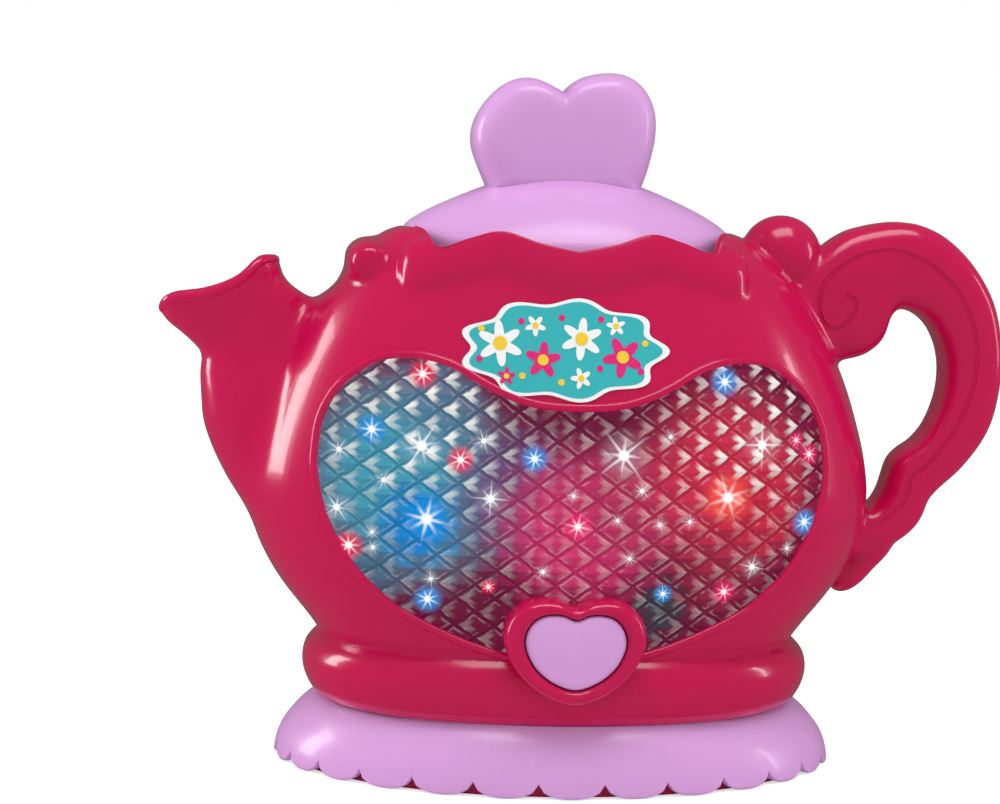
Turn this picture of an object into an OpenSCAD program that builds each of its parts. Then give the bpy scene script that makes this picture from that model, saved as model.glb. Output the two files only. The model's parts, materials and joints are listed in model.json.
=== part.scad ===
// Toy teapot with a lit window, a heart push button, a lift-off lid and a mist spout.
// Origin: middle of the underside of the base. +X is the handle side, -Y the front, +Z up.

/* [Body shells] */
// Widest width of the belly
belly_w = 162.6; // [150:0.2:180]
// Widest depth of the belly
belly_d = 102; // [94:1:112]
// Height of the rim above the table
rim_z = 138.5; // [132:0.5:146]
// Height of the groove between foot ring and belly
waist_z = 30.5; // [29:0.5:33]
// Widest width of the rounded foot ring
ring_w = 133; // [124:0.5:142]
// Widest depth of the rounded foot ring
ring_d = 94; // [88:0.5:100]
// Wall of the moulded shells
wall = 2.2; // [1.8:0.1:2.8]
// Depth of the waves in the rim
wave_h = 5.4; // [3:0.1:7]
// Radius of the rounded band under the rim
band_r = 4.6; // [3.5:0.1:5.5]
// Radius of the ball at the handle end of the band
ball_r = 10.6; // [8:0.1:12]

/* [Spout] */
// Reach of the lip past the belly
spout_reach = 24; // [18:0.5:32]
// Rise from the root of the spout to its mouth
spout_rise = 66.4; // [58:0.2:74]
// Height at which the spout leaves the belly
spout_z = 58; // [52:0.5:64]
// Length of the spout's section at its thickest
spout_l = 47; // [40:0.5:54]
// Thickness of the spout at its root, front to back
spout_t = 44; // [34:0.5:50]

/* [Handle] */
// Reach of the handle past the belly
handle_reach = 35.7; // [30:0.1:42]
// Height of the handle's top
handle_top_z = 142.4; // [136:0.2:150]
// Height of the handle's lower root
handle_low_z = 57; // [50:0.5:62]
// Thickest width of the strap in side view
handle_w = 22.4; // [18:0.2:26]
// Thickness of the handle, front to back
handle_t = 20; // [16:0.5:24]

/* [Window and button] */
// Width of the window opening
window_w = 127.6; // [112:0.2:134]
// Height of the window opening
window_h = 74; // [64:0.5:78]
// Height of the window's lowest edge
window_z = 33; // [32:0.5:38]
// Thickness of the clear lens
lens_t = 2; // [1.5:0.1:3]
// Width of the heart bezel
bezel_w = 34.8; // [30:0.2:40]
// Height of the heart bezel
bezel_h = 25.8; // [22:0.2:30]
// Height of the bezel's lower tip
bezel_z = 23.4; // [22:0.2:27]
// Reach of the bezel's face in front of the origin
bezel_front = 54; // [52:0.5:58]
// Width of the rounded bezel around the button
bezel_roll = 5; // [4:0.1:6]
// Travel of the heart button
button_travel = 1.5; // [1:0.1:2.5]

/* [Lid] */
// Radius of the lid's curve in front view
dome_r = 70; // [64:0.5:76]
// Width of the lid where it enters the rim
dome_w = 84.6; // [78:0.2:90]
// Gap between the lid and the rim, in front and behind
dome_gap = 1.1; // [0.6:0.1:2]
// Height of the lid's top
dome_top_z = 153.5; // [150:0.5:158]
// Width of the heart knob
knob_w = 48; // [40:0.5:54]
// Height of the heart knob's top
knob_top_z = 179.5; // [174:0.5:186]
// Thickness of the heart knob
knob_t = 25; // [20:0.5:28]

/* [Base] */
// Width of the saucer
saucer_w = 147; // [142:0.5:156]
// Depth of the saucer
saucer_d = 104; // [100:0.5:112]
// Height of the saucer, on which the shells stand
saucer_h = 16.5; // [16:0.1:18]
// Number of scallops round the saucer's edge
scallops = 28; // [20:2:36]
// Height of the scallops
scallop_h = 3; // [2:0.1:4]
// Gap between the saucer's wall and the base plate
base_gap = 1.2; // [1:0.1:1.8]
// Thickness of the base plate
plate_t = 3; // [2.6:0.1:3.4]
// Height of the base plate's rim
plate_rim_h = 4; // [3.5:0.1:4.5]

/* [Batteries] */
// Diameter of a cell
cell_d = 10.5; // [9.8:0.1:10.6]
// Length of a cell
cell_l = 44.5; // [43:0.1:46]
// Number of cells
cells = 3; // [2:1:3]
// Distance from the middle of the base to the middle of the battery bay
bay_x = 21; // [20:0.5:22]

/* [Sound and switch] */
// Outer diameter of the speaker
speaker_d = 36; // [28:0.5:37]
// Distance from the middle of the base to the speaker
speaker_x = 25; // [22:0.5:26]
// Distance from the middle of the base to the power switch
switch_x = 55.5; // [54:0.5:57]
// Travel of the power switch's knob
switch_travel = 4; // [2:0.5:5]

/* [Water and mist] */
// Length of the water tank
tank_l = 60; // [50:0.5:64]
// Width of the water tank
tank_w = 35; // [28:0.5:38]
// Depth of the water tank below the ledge
tank_h = 40; // [34:0.5:42]
// Wall of the tank
tank_wall = 1.6; // [1.2:0.1:2]
// Tilt of the mist duct
duct_tilt = 17.5; // [16:0.5:19]
// Radius of the mist duct
duct_r = 5; // [4:0.1:5.5]
// Radius of the cotton wick
wick_r = 3.4; // [2.5:0.1:3.8]
// Radius of the ultrasonic disc
disc_r = 8; // [7:0.1:9]

/* [Fasteners] */
// Radius of a screw's shank
screw_r = 1.3; // [1:0.05:1.5]
// Radius of a screw's head
head_r = 2.6; // [2.2:0.1:3]
// Height of a screw's head
head_h = 1.8; // [1.4:0.1:2.2]
// Wall of a screw post
post_wall = 2; // [1.6:0.1:2.6]
// Clearance around a screw
screw_gap = 0.12; // [0.08:0.01:0.2]
// Clearance between parts that move against each other
slide_gap = 0.3; // [0.2:0.05:0.5]
// Gap between parts that rest on each other
seat_gap = 0.1; // [0.05:0.01:0.2]

/* [Hidden] */

crimson = "#c3154c";
lilac = "#e09fdc";
turquoise = "#35b9bd";
board_green = "#2f7d4f";
steel = "#c9ccd1";
dark = "#3a3a3f";

// Numbers of facets on the moulded curves
belly_sides = 48;
spout_sides = 24;
handle_sides = 16;
ball_sides = 22;
band_sides = 13;
edge_sides = 64;
lid_sides = 160;
knob_sides = 20;
// Exponents of the rounded sections
belly_round = 2.25;
handle_round = 2.6;
// Overrun of a cut past the face that it opens
over = 1;

half_belly = belly_w / 2;

// Sections of the foot ring: share of its height, width and depth
ring_shares = [[0, 0.932, 0.930], [0.14, 0.978, 0.976], [0.42, 1, 1], [0.68, 0.986, 0.985],
    [0.89, 0.942, 0.940]];
// Sections of the belly: share of the height from the waist to the rim, width and depth
belly_shares = [[0, 0.744, 0.840], [0.06, 0.800, 0.882], [0.134, 0.879, 0.929], [0.199, 0.935, 0.967],
    [0.273, 0.978, 0.992], [0.366, 1, 1], [0.458, 0.988, 0.992], [0.551, 0.957, 0.967],
    [0.644, 0.916, 0.922], [0.736, 0.861, 0.863], [0.829, 0.787, 0.804], [0.921, 0.689, 0.751],
    [0.977, 0.595, 0.725], [1, 0.554, 0.716]];
// Depth of the lid where it enters the rim
dome_d = belly_shares[len(belly_shares) - 1][2] * belly_d - 2 * (wall + dome_gap);
// Sections of the spout: reach and rise of its middle, length, thickness, then its tilt in degrees
spout_shares = [[-0.97, 0.06, 0.81, 1, 0], [-0.80, 0.18, 0.94, 0.96, 3], [-0.64, 0.33, 1, 0.89, 6],
    [-0.47, 0.48, 0.98, 0.80, 9], [-0.30, 0.595, 0.85, 0.70, 12], [-0.18, 0.685, 0.745, 0.60, 14],
    [-0.10, 0.774, 0.672, 0.545, 18], [0.04, 0.851, 0.698, 0.52, 21.3], [0.25, 0.913, 0.698, 0.54, 21],
    [0.346, 0.973, 0.71, 0.56, 20.5], [0.37, 1, 0.638, 0.52, 23]];
// Middle line of the handle: reach, height and width of the strap
handle_shares = [[-0.60, 0.773, 1], [-0.204, 0.82, 0.98], [0.132, 0.866, 1], [0.44, 0.837, 0.95],
    [0.67, 0.718, 0.795], [0.784, 0.556, 0.705], [0.725, 0.41, 0.68], [0.552, 0.293, 0.69],
    [0.35, 0.21, 0.625], [0.266, 0.133, 0.56], [0.143, 0.062, 0.58], [-0.12, 0.012, 0.625],
    [-0.43, 0, 0.60]];
// Scroll where the handle curls into the belly: reach, height, radius
scroll_share = [-0.204, 0.718, 1.115];
// Leaf under the handle: reach, height, radius of its balls
leaf_shares = [[0.04, -0.01, 0.49], [-0.02, -0.08, 0.38], [-0.12, -0.117, 0.31]];
// Top edge of the rim's wave, and the middle of the band below it
wave_shares = [[0, -1.07], [0.22, -0.72], [0.437, -0.22], [0.62, -0.55], [0.81, -1], [0.91, -0.13],
    [1.12, 0]];
band_shares = [[0, -1.95], [0.22, -1.65], [0.437, -1.1], [0.62, -1.42], [0.81, -1.82], [1.02, -2.28]];
// Right half of a heart, from its tip up to the notch
heart_shares = [[0, 0], [0.40, 0.08], [0.74, 0.25], [0.93, 0.45], [1, 0.64], [0.93, 0.82], [0.75, 0.95],
    [0.5, 1], [0.25, 0.99], [0, 0.93]];
// Point of the heart at which it is widest
heart_widest = 4;
// Right half of the window, from its lowest point to its widest, and on to the dip at the top
window_low_shares = [[0, 0], [0.20, 0.005], [0.408, 0.054], [0.635, 0.142], [0.745, 0.209],
    [0.846, 0.297], [0.928, 0.405], [0.977, 0.514], [0.997, 0.601]];
window_top_shares = [[1, 0.655], [0.984, 0.77], [0.933, 0.865], [0.854, 0.936], [0.76, 0.986],
    [0.655, 1], [0.564, 0.993], [0.47, 0.967], [0.368, 0.917], [0.266, 0.876], [0.152, 0.849], [0, 0.841]];
// Profile of the saucer: share of its radius and height
saucer_shares = [[1, 0], [0.998, 0.12], [0.988, 0.30], [0.969, 0.48], [0.94, 0.65], [0.905, 0.82],
    [0.87, 0.94], [0.845, 1]];

// Superellipse point at an angle
function signed_power(v, p) = sign(v) * pow(abs(v), p);
function oval_point(angle, n) = [signed_power(cos(angle), 2 / n), signed_power(sin(angle), 2 / n)];

// Smooth curve through points, open or closed
function spline_point(p0, p1, p2, p3, t) =
    0.5 * (2 * p1 + (p2 - p0) * t + (2 * p0 - 5 * p1 + 4 * p2 - p3) * t * t
        + (3 * p1 - p0 - 3 * p2 + p3) * t * t * t);
function spline(points, steps) = let (n = len(points))
    [for (i = [0 : n - 2], k = [0 : steps - 1])
        spline_point(points[max(i - 1, 0)], points[i], points[i + 1], points[min(i + 2, n - 1)], k / steps),
    points[n - 1]];
function loop_spline(points, steps) = let (n = len(points))
    [for (i = [0 : n - 1], k = [0 : steps - 1])
        spline_point(points[(i + n - 1) % n], points[i], points[(i + 1) % n], points[(i + 2) % n],
            k / steps)];

// Outline that runs anticlockwise, moved outward by a distance
function grow(points, distance) = let (n = len(points))
    [for (i = [0 : n - 1])
        let (along = points[(i + 1) % n] - points[(i + n - 1) % n])
        points[i] + distance * [along[1], -along[0]] / norm(along)];
function mirrored_outline(half) = concat(half,
    [for (i = [len(half) - 2 : -1 : 1]) [-half[i][0], half[i][1]]]);
function heart(w, h, z) = loop_spline(
    mirrored_outline([for (s = heart_shares) [s[0] * w / 2, z + s[1] * h]]), 2);
function at_y(points, y) = [for (p = points) [p[0], y, p[1]]];

// Solid whose surface runs through rings of points; loop joins the last ring to the first
module skin(rings, loop = false) {
    n = len(rings[0]);
    count = len(rings);
    last = loop ? count - 1 : count - 2;
    walls = [for (i = [0 : last], k = [0 : n - 1])
        let (j = (i + 1) % count, m = (k + 1) % n)
        each [[i * n + k, j * n + m, i * n + m], [i * n + k, j * n + k, j * n + m]]];
    caps = loop ? [] : [[for (k = [0 : n - 1]) k], [for (k = [n - 1 : -1 : 0]) (count - 1) * n + k]];
    polyhedron([for (ring = rings) each ring], concat(walls, caps));
}

// Ring of points round a section: middle x and z, half length, half thickness, tilt
function section(row, n, exponent) = [for (k = [0 : n - 1])
    let (p = oval_point(360 * k / n, exponent))
    [row[0] + row[2] * p[0] * cos(row[4]), row[3] * p[1], row[1] + row[2] * p[0] * sin(row[4])]];
module loft(rows, n, exponent) {
    skin([for (row = rows) section(row, n, exponent)]);
}
function thinner(rows, by) = [for (r = rows) [r[0], r[1], r[2] - by, r[3] - by, r[4]]];

// Sections of the shells as rows of middle x, z, half width, half depth, tilt
foot_rows = [for (s = ring_shares) [0, saucer_h + s[0] * (waist_z - saucer_h), s[1] * ring_w / 2,
    s[2] * ring_d / 2, 0]];
belly_rows = [for (s = belly_shares) [0, waist_z + s[0] * (rim_z - waist_z), s[1] * half_belly,
    s[2] * belly_d / 2, 0]];
body_rows = concat(foot_rows, belly_rows);
spout_rows = [for (s = spout_shares) [-half_belly - s[0] * spout_reach, spout_z + s[1] * spout_rise,
    s[2] * spout_l / 2, s[3] * spout_t / 2, s[4]]];
handle_path = spline([for (s = handle_shares) [half_belly + s[0] * handle_reach,
    handle_low_z + s[1] * (handle_top_z - handle_low_z), s[2] * handle_w / 2]], 2);
handle_rows = let (last = len(handle_path) - 1)
    [for (i = [0 : last])
        let (along = handle_path[min(i + 1, last)] - handle_path[max(i - 1, 0)])
        [handle_path[i][0], handle_path[i][1], handle_path[i][2], handle_t / 2, atan2(-along[0], along[1])]];

// Half width, half depth and front of the body at a height
width_table = [for (r = body_rows) [r[1], r[2]]];
depth_table = [for (r = body_rows) [r[1], r[3]]];
function front_y(x, z, inset) =
    let (w = lookup(z, width_table) - inset, d = lookup(z, depth_table) - inset)
    d * pow(max(0, 1 - pow(min(abs(x) / w, 1), belly_round)), 1 / belly_round);

// Rim: top edge and middle of the band, from the left end to the right end
function both_ends(half) = concat([for (i = [len(half) - 1 : -1 : 1]) [-half[i][0], half[i][1]]], half);
wave_line = both_ends(spline([for (s = wave_shares) [s[0] * dome_w / 2, rim_z + s[1] * wave_h]], 3));
band_line = both_ends(spline([for (s = band_shares) [s[0] * dome_w / 2, rim_z + s[1] * wave_h]], 2));
band_sink = 1.7;
// Balls at the ends of the band: the small one at the spout, the large one at the handle
small_ball_share = -0.614;
small_ball_drop = 9.2;
small_ball_r = 6;
ball_share = 0.705;
ball_drop = 5.7;

module band(side) {
    for (i = [0 : len(band_line) - 2])
        hull()
            for (p = [band_line[i], band_line[i + 1]])
                translate([p[0], side * (front_y(p[0], p[1], 0) - band_sink), p[1]])
                    sphere(r = band_r, $fn = band_sides);
}

module scroll_and_leaf() {
    place = [half_belly + scroll_share[0] * handle_reach,
        handle_low_z + scroll_share[1] * (handle_top_z - handle_low_z)];
    r = scroll_share[2] * handle_w / 2;
    edge = handle_t / 8;
    translate([place[0], 0, place[1]])
        rotate([90, 0, 0])
            hull() {
                cylinder(r = r, h = handle_t - 2 * edge, center = true, $fn = ball_sides);
                cylinder(r = r - edge, h = handle_t, center = true, $fn = ball_sides);
            }
    leaf = [for (s = leaf_shares) [half_belly + s[0] * handle_reach,
        handle_low_z + s[1] * (handle_top_z - handle_low_z), s[2] * handle_w / 2]];
    for (i = [0 : len(leaf) - 2])
        hull()
            for (p = [leaf[i], leaf[i + 1]])
                translate([p[0], 0, p[1]])
                    sphere(r = p[2], $fn = band_sides);
}

// Outer form of both shells together
module outer_form(side) {
    loft(body_rows, belly_sides, belly_round);
    loft(spout_rows, spout_sides, 2);
    loft(handle_rows, handle_sides, handle_round);
    scroll_and_leaf();
    band(side);
    translate([ball_share * half_belly, 0, rim_z - ball_drop])
        sphere(r = ball_r, $fn = ball_sides);
    translate([small_ball_share * half_belly, 0, rim_z - small_ball_drop])
        sphere(r = small_ball_r, $fn = ball_sides);
}

// Hollow of both shells, open at the foot, the rim and the mouth of the spout
module inner_form() {
    inner = thinner(body_rows, wall);
    top = inner[len(inner) - 1];
    loft(concat([inner[0] - [0, over, 0, 0, 0]], inner, [top + [0, over, 0, 0, 0]]), belly_sides,
        belly_round);
    spout_inner = thinner(spout_rows, wall);
    last = len(spout_inner) - 1;
    mouth = spout_inner[last];
    loft(concat([for (i = [0 : last - 1]) spout_inner[i]],
        [mouth + 3 * over * [-sin(mouth[4]), cos(mouth[4]), 0, 0, 0]]), spout_sides, 2);
    loft(thinner(handle_rows, wall), handle_sides, handle_round);
}

// What the rim's wave leaves open
module wave_cut() {
    end = wave_line[len(wave_line) - 1];
    translate([0, belly_d, 0])
        rotate([90, 0, 0])
            linear_extrude(2 * belly_d)
                polygon(concat([[-end[0], rim_z + ball_r]], wave_line, [[end[0], rim_z + ball_r]]));
}

// Places of the screws that join the shells, as shares of the belly's half width and the rim's height
shell_post_shares = [[-0.984, 0.664], [-0.738, 0.318], [0.787, 0.332], [0.80, 0.80], [-0.615, 0.865]];
handle_post_share = [0.784, 0.556];
shell_posts = concat([for (s = shell_post_shares) [s[0] * half_belly, s[1] * rim_z]],
    [[half_belly + handle_post_share[0] * handle_reach,
        handle_low_z + handle_post_share[1] * (handle_top_z - handle_low_z)]]);
post_r = screw_r + post_wall;
shank_r = screw_r + screw_gap;
well_r = head_r + slide_gap;
well_seat = 4;
shell_screw_grip = 7;
// Screws that hold the base to the shells
base_post_share = [0.76, 0.36];
base_posts = [for (sx = [-1, 1], sy = [-1, 1])
    [sx * base_post_share[0] * ring_w / 2, sy * base_post_share[1] * ring_d / 2]];
base_screw_seat = 3.4;
base_screw_reach = 9;
base_screw_top = saucer_h + base_screw_reach;
base_post_top = base_screw_top + over;
rib_t = 2;

// Ledge inside the rim, on which the tank hangs and the lid rests
ledge_t = 2;
ledge_drop = 9;
ledge_top = rim_z - ledge_drop;
ledge_clear = [1.5, 4.5];
ledge_hole = [tank_l / 2 + ledge_clear[0], tank_w / 2 + ledge_clear[1]];
flange_t = 1.6;
flange_clear = wall + 1.6;
tank_flange = [dome_w / 2 - flange_clear, dome_d / 2 - flange_clear];
tank_screw_share = 0.547;
tank_screw_x = tank_l / 2 + tank_screw_share * (tank_flange[0] - tank_l / 2);

module oval_plate(half_w, half_d, h) {
    scale([1, half_d / half_w, 1])
        cylinder(r = half_w, h = h, $fn = edge_sides);
}

// Window, bezel and what lies behind them
window_half = concat([for (s = window_low_shares) [s[0] * window_w / 2, window_z + s[1] * window_h]],
    [for (s = window_top_shares) [s[0] * window_w / 2, window_z + s[1] * window_h]]);
window_line = loop_spline(mirrored_outline(window_half), 1);
hole_line = grow(heart(bezel_w, bezel_h, bezel_z), -bezel_roll);
boss_line = heart(bezel_w, bezel_h, bezel_z);
boss_depth = 10.5;
boss_back = belly_d / 2 - boss_depth;
// Face of the bezel: share of the roll inwards, and how far behind its front
bezel_steps = [[0, 3.04], [0.2, 1.28], [0.5, 0], [0.85, 0.8]];
button_seat_depth = 7.5;
button_seat = bezel_front - button_seat_depth;
board_depth = 29;
board_front = belly_d / 2 - board_depth;
board_t = 1.6;
led_post_shares = [[0, 0.80], [-0.565, 0.27], [0.565, 0.27]];
led_posts = [for (s = led_post_shares) [s[0] * half_belly, s[1] * rim_z]];

module prism(points, y0, y1) {
    translate([0, y1, 0])
        rotate([90, 0, 0])
            linear_extrude(y1 - y0)
                polygon(points);
}

module bezel() {
    skin(concat([at_y(boss_line, -boss_back)],
        [for (s = bezel_steps) at_y(grow(boss_line, -s[0] * bezel_roll), -bezel_front + s[1])]));
}

module bezel_cuts() {
    prism(hole_line, -bezel_front - over, -boss_back + over);
    prism(grow(boss_line, -wall), -button_seat, -boss_back + over);
}

// Posts that carry the other pieces, kept within the shells' outer form
module posts(side) {
    for (p = shell_posts)
        translate([p[0], 0, p[1]])
            rotate([side < 0 ? 90 : -90, 0, 0])
                cylinder(r = side < 0 ? post_r : well_r + post_wall, h = belly_d, $fn = band_sides);
    for (p = base_posts)
        translate([p[0], p[1], saucer_h]) {
            cylinder(r = post_r, h = base_post_top - saucer_h, $fn = band_sides);
            rotate([0, 0, p[0] > 0 ? 0 : 180])
                translate([0, -rib_t / 2, 0])
                    cube([ring_w / 4, rib_t, base_post_top - saucer_h]);
        }
    translate([0, 0, ledge_top - ledge_t])
        oval_plate(half_belly, belly_d / 2, ledge_t);
}

module post_holes(side) {
    for (p = shell_posts)
        translate([p[0], 0, p[1]])
            rotate([side < 0 ? 90 : -90, 0, 0]) {
                translate([0, 0, -over])
                    cylinder(r = shank_r, h = shell_screw_grip + 2 * over, $fn = band_sides);
                if (side > 0)
                    translate([0, 0, well_seat])
                        cylinder(r = well_r, h = belly_d, $fn = band_sides);
            }
    for (p = base_posts)
        translate([p[0], p[1], saucer_h - over])
            cylinder(r = shank_r, h = base_post_top - saucer_h, $fn = band_sides);
    on_duct(0)
        cylinder(r = duct_r + slide_gap, h = duct_l, $fn = 2 * band_sides);
    translate([0, 0, ledge_top - ledge_t - over])
        oval_plate(ledge_hole[0], ledge_hole[1], ledge_t + 2 * over);
    for (sx = [-1, 1])
        translate([sx * tank_screw_x, 0, ledge_top - ledge_t - over])
            cylinder(r = shank_r, h = ledge_t + 2 * over, $fn = band_sides);
}

module half_space(side) {
    translate([-belly_w, side < 0 ? -belly_d : 0, 0])
        cube([2 * belly_w, belly_d, 2 * rim_z]);
}

module led_board_posts() {
    for (p = led_posts)
        translate([p[0], -board_front, p[1]])
            rotate([90, 0, 0])
                cylinder(r = post_r, h = board_front, $fn = band_sides);
}

module led_board_post_holes() {
    for (p = led_posts)
        translate([p[0], -board_front + over, p[1]])
            rotate([90, 0, 0])
                cylinder(r = shank_r, h = led_screw_grip + over, $fn = band_sides);
}
led_screw_grip = 6;

module front_shell() {
    color(crimson)
        intersection() {
            half_space(-1);
            difference() {
                union() {
                    difference() {
                        outer_form(-1);
                        inner_form();
                        difference() {
                            prism(window_line, -belly_d, -wall);
                            prism([[-notch_x, 0], [notch_x, 0], [notch_x, notch_top[0][1]],
                                [-notch_x, notch_top[0][1]]], -belly_d, -wall);
                        }
                    }
                    intersection() {
                        outer_form(-1);
                        union() {
                            posts(-1);
                            led_board_posts();
                        }
                    }
                    bezel();
                }
                wave_cut();
                bezel_cuts();
                post_holes(-1);
                led_board_post_holes();
            }
        }
}

board_post_shares = [[-0.30, 0.36], [0.30, 0.36], [0, 0.58]];
board_posts = [for (s = board_post_shares) [s[0] * half_belly, s[1] * rim_z]];
main_board_depth = 20;
main_board_back = belly_d / 2 - main_board_depth;
board_screw_grip = 6;
module main_board_posts(r, reach) {
    for (p = board_posts)
        translate([p[0], main_board_back - reach, p[1]])
            rotate([-90, 0, 0])
                cylinder(r = r, h = reach > 0 ? board_screw_grip + reach : belly_d, $fn = band_sides);
}

module rear_shell() {
    color(crimson)
        intersection() {
            half_space(1);
            difference() {
                union() {
                    difference() {
                        outer_form(1);
                        inner_form();
                    }
                    intersection() {
                        outer_form(1);
                        union() {
                            posts(1);
                            main_board_posts(post_r, 0);
                        }
                    }
                }
                wave_cut();
                post_holes(1);
                main_board_posts(shank_r, over);
            }
        }
}

// Outline of the lens and its tray: the window grown by a margin, open below for the bezel
lens_margin = 2.8;
lens_line = grow(window_line, lens_margin);
widest = len(window_low_shares);
lens_low = [for (i = [0 : widest]) lens_line[i]];
lens_top = [for (i = [widest : len(window_half) - 1]) lens_line[i]];
notch_x = bezel_w / 2 + slide_gap;
notch_line = grow(boss_line, slide_gap);
notch_top = [for (i = [2 * heart_widest : 2 * (len(heart_shares) - 1)]) notch_line[i]];
notch_step = 0.5;
lens_end_trim = 0.4;
lens_end = lens_line[widest][0] - lens_end_trim;
lens_inset = wall + slide_gap;
tray_wall = 1.4;
right_stations = concat([for (k = [1 : 6]) notch_x * sin(90 * k / 6)],
    [for (k = [0 : 12]) notch_x + notch_step + (lens_end - notch_x - notch_step) * sin(90 * k / 12)]);
stations = concat([for (i = [len(right_stations) - 1 : -1 : 0]) -right_stations[i]], [0], right_stations);
function lens_low_z(x) = lookup(abs(x), abs(x) <= notch_x ? notch_top : lens_low);
function lens_top_z(x) = lookup(abs(x), lens_top);
lens_rows = 7;

// Plate that follows the shell between two insets, seen as columns from left to right
module window_lens() {
    color("#d8e6ee")
        skin([for (x = stations)
            let (low = lens_low_z(x), high = lens_top_z(x),
                zs = [for (k = [0 : lens_rows]) low + (high - low) * k / lens_rows])
            concat([for (k = [lens_rows : -1 : 0]) [x, -front_y(x, zs[k], lens_inset), zs[k]]],
                [for (k = [0 : lens_rows]) [x, -front_y(x, zs[k], lens_inset) + lens_t, zs[k]]])]);
}

tray_line = concat([for (x = stations) [x, lens_low_z(x)]],
    [for (i = [len(stations) - 1 : -1 : 0]) [stations[i], lens_top_z(stations[i])]]);
module light_tray() {
    inner = grow(tray_line, -tray_wall);
    back = -board_front - seat_gap;
    function before_lens(points) = [for (p = points)
        [p[0], min(back - over / 2, -front_y(p[0], p[1], lens_inset) + lens_t + 2 * slide_gap), p[1]]];
    color("#f4f4f6")
        skin([at_y(tray_line, back), before_lens(tray_line), before_lens(inner), at_y(inner, back)],
            loop = true);
}

led_shares = [[-0.72, 0.62], [-0.36, 0.42], [0, 0.60], [0.36, 0.42], [0.72, 0.62], [-0.36, 0.76],
    [0.36, 0.76]];
leds_at = [for (s = led_shares) [s[0] * window_w / 2, window_z + s[1] * window_h]];
led_r = 2.5;
led_h = 6;
led_flange_r = 2.9;
led_flange_t = 1;
button_share = 0.53;
button_z = bezel_z + button_share * bezel_h;
plunger_r = 2.4;
plunger_reach = 3;
plunger_in = 3;
push_switch_w = 10;
push_switch_h = 9;
push_switch_front = board_front + push_switch_h;
button_stem_r = 3;
button_dome_r = 45;
button_set_back = 0.7;
flange_reach = 1.4;

board_lap = 1;
ear_r = post_r + 1.6;
// Webs that join the ears to the board: height reached by the top one, length of the low ones
web_shares = [0.8, 0.24];
module led_board() {
    color(board_green)
        difference() {
            translate([0, -board_front + board_t, 0])
                rotate([90, 0, 0])
                    linear_extrude(board_t) {
                        polygon(grow(window_line, board_lap));
                        for (p = led_posts) {
                            translate(p)
                                circle(r = ear_r, $fn = edge_sides);
                            reach = p[0] == 0 ? window_z + window_h * web_shares[0] - p[1]
                                : window_h * web_shares[1];
                            translate(p + [-ear_r, min(reach, 0)])
                                square([2 * ear_r, abs(reach)]);
                        }
                    }
            for (p = led_posts)
                translate([p[0], -board_front - over, p[1]])
                    rotate([-90, 0, 0])
                        cylinder(r = shank_r, h = board_t + 2 * over, $fn = edge_sides);
        }
}

module leds() {
    color("#eef6ff")
        for (p = leds_at)
            translate([p[0], -board_front, p[1]])
                rotate([90, 0, 0]) {
                    cylinder(r = led_flange_r, h = led_flange_t, $fn = edge_sides);
                    cylinder(r = led_r, h = led_h, $fn = edge_sides);
                    translate([0, 0, led_h])
                        sphere(r = led_r, $fn = edge_sides);
                }
}

// Round badge with wavy edge on the front of the belly, above the window
badge_w = 50;
badge_h = 25;
badge_place = [-3.5, window_z + 1.03 * window_h];
badge_t = 0.5;
badge_waves = 7;
badge_wave_h = 0.05;
badge_line = [for (a = [0 : 10 : 350]) let (r = 1 + badge_wave_h * cos(badge_waves * a))
    [cos(a) * r * badge_w / 2, sin(a) * r * badge_h / 2]];
module badge() {
    lift = 0.2;
    function on_shell(share, reach) = [for (p = badge_line)
        let (x = badge_place[0] + share * p[0], z = badge_place[1] + share * p[1])
        [x, -front_y(x, z, 0) - reach, z]];
    shares = [0.05, 0.4, 0.7, 1];
    color(turquoise)
        skin(concat([for (s = shares) on_shell(s, lift)],
            [for (i = [len(shares) - 1 : -1 : 0]) on_shell(shares[i], lift + badge_t)]));
}

module heart_button() {
    face = grow(hole_line, -slide_gap);
    flange_front = -button_seat + slide_gap;
    dome_front = -bezel_front + button_set_back;
    color(lilac) {
        intersection() {
            prism(face, dome_front - over, flange_front);
            translate([0, dome_front + button_dome_r, button_z])
                sphere(r = button_dome_r, $fn = edge_sides);
        }
        prism(grow(hole_line, flange_reach), flange_front, flange_front + wall);
        translate([0, flange_front + wall, button_z])
            rotate([-90, 0, 0])
                cylinder(r = button_stem_r,
                    h = -push_switch_front - plunger_reach - flange_front - wall, $fn = edge_sides);
    }
}

module switch_plunger() {
    color(dark)
        translate([0, -push_switch_front - plunger_reach, button_z])
            rotate([-90, 0, 0])
                cylinder(r = plunger_r, h = plunger_reach + plunger_in, $fn = edge_sides);
}

module push_switch() {
    color(dark)
        difference() {
            translate([-push_switch_w / 2, -push_switch_front, button_z - push_switch_w / 2])
                cube([push_switch_w, push_switch_h, push_switch_w]);
            translate([0, -push_switch_front - over, button_z])
                rotate([-90, 0, 0])
                    cylinder(r = plunger_r + slide_gap, h = over + plunger_in + 2 * slide_gap + button_travel,
                    $fn = edge_sides);
        }
}

// Lid: a shallow dome with a skirt that stands inside the rim
skirt_z = ledge_top + slide_gap;
dome_centre_z = dome_top_z - dome_r;
knob_screw_x = 10;
pad_drop = 6.5;
knob_screw_grip = 13;
module dome_solid(by) {
    scale([1, (dome_d / 2 - by) / (dome_w / 2 - by), 1])
        intersection() {
            translate([0, 0, dome_centre_z])
                sphere(r = dome_r - by, $fn = lid_sides);
            translate([0, 0, skirt_z - by])
                cylinder(r = dome_w / 2 - by, h = dome_r, $fn = lid_sides);
        }
}

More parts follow.
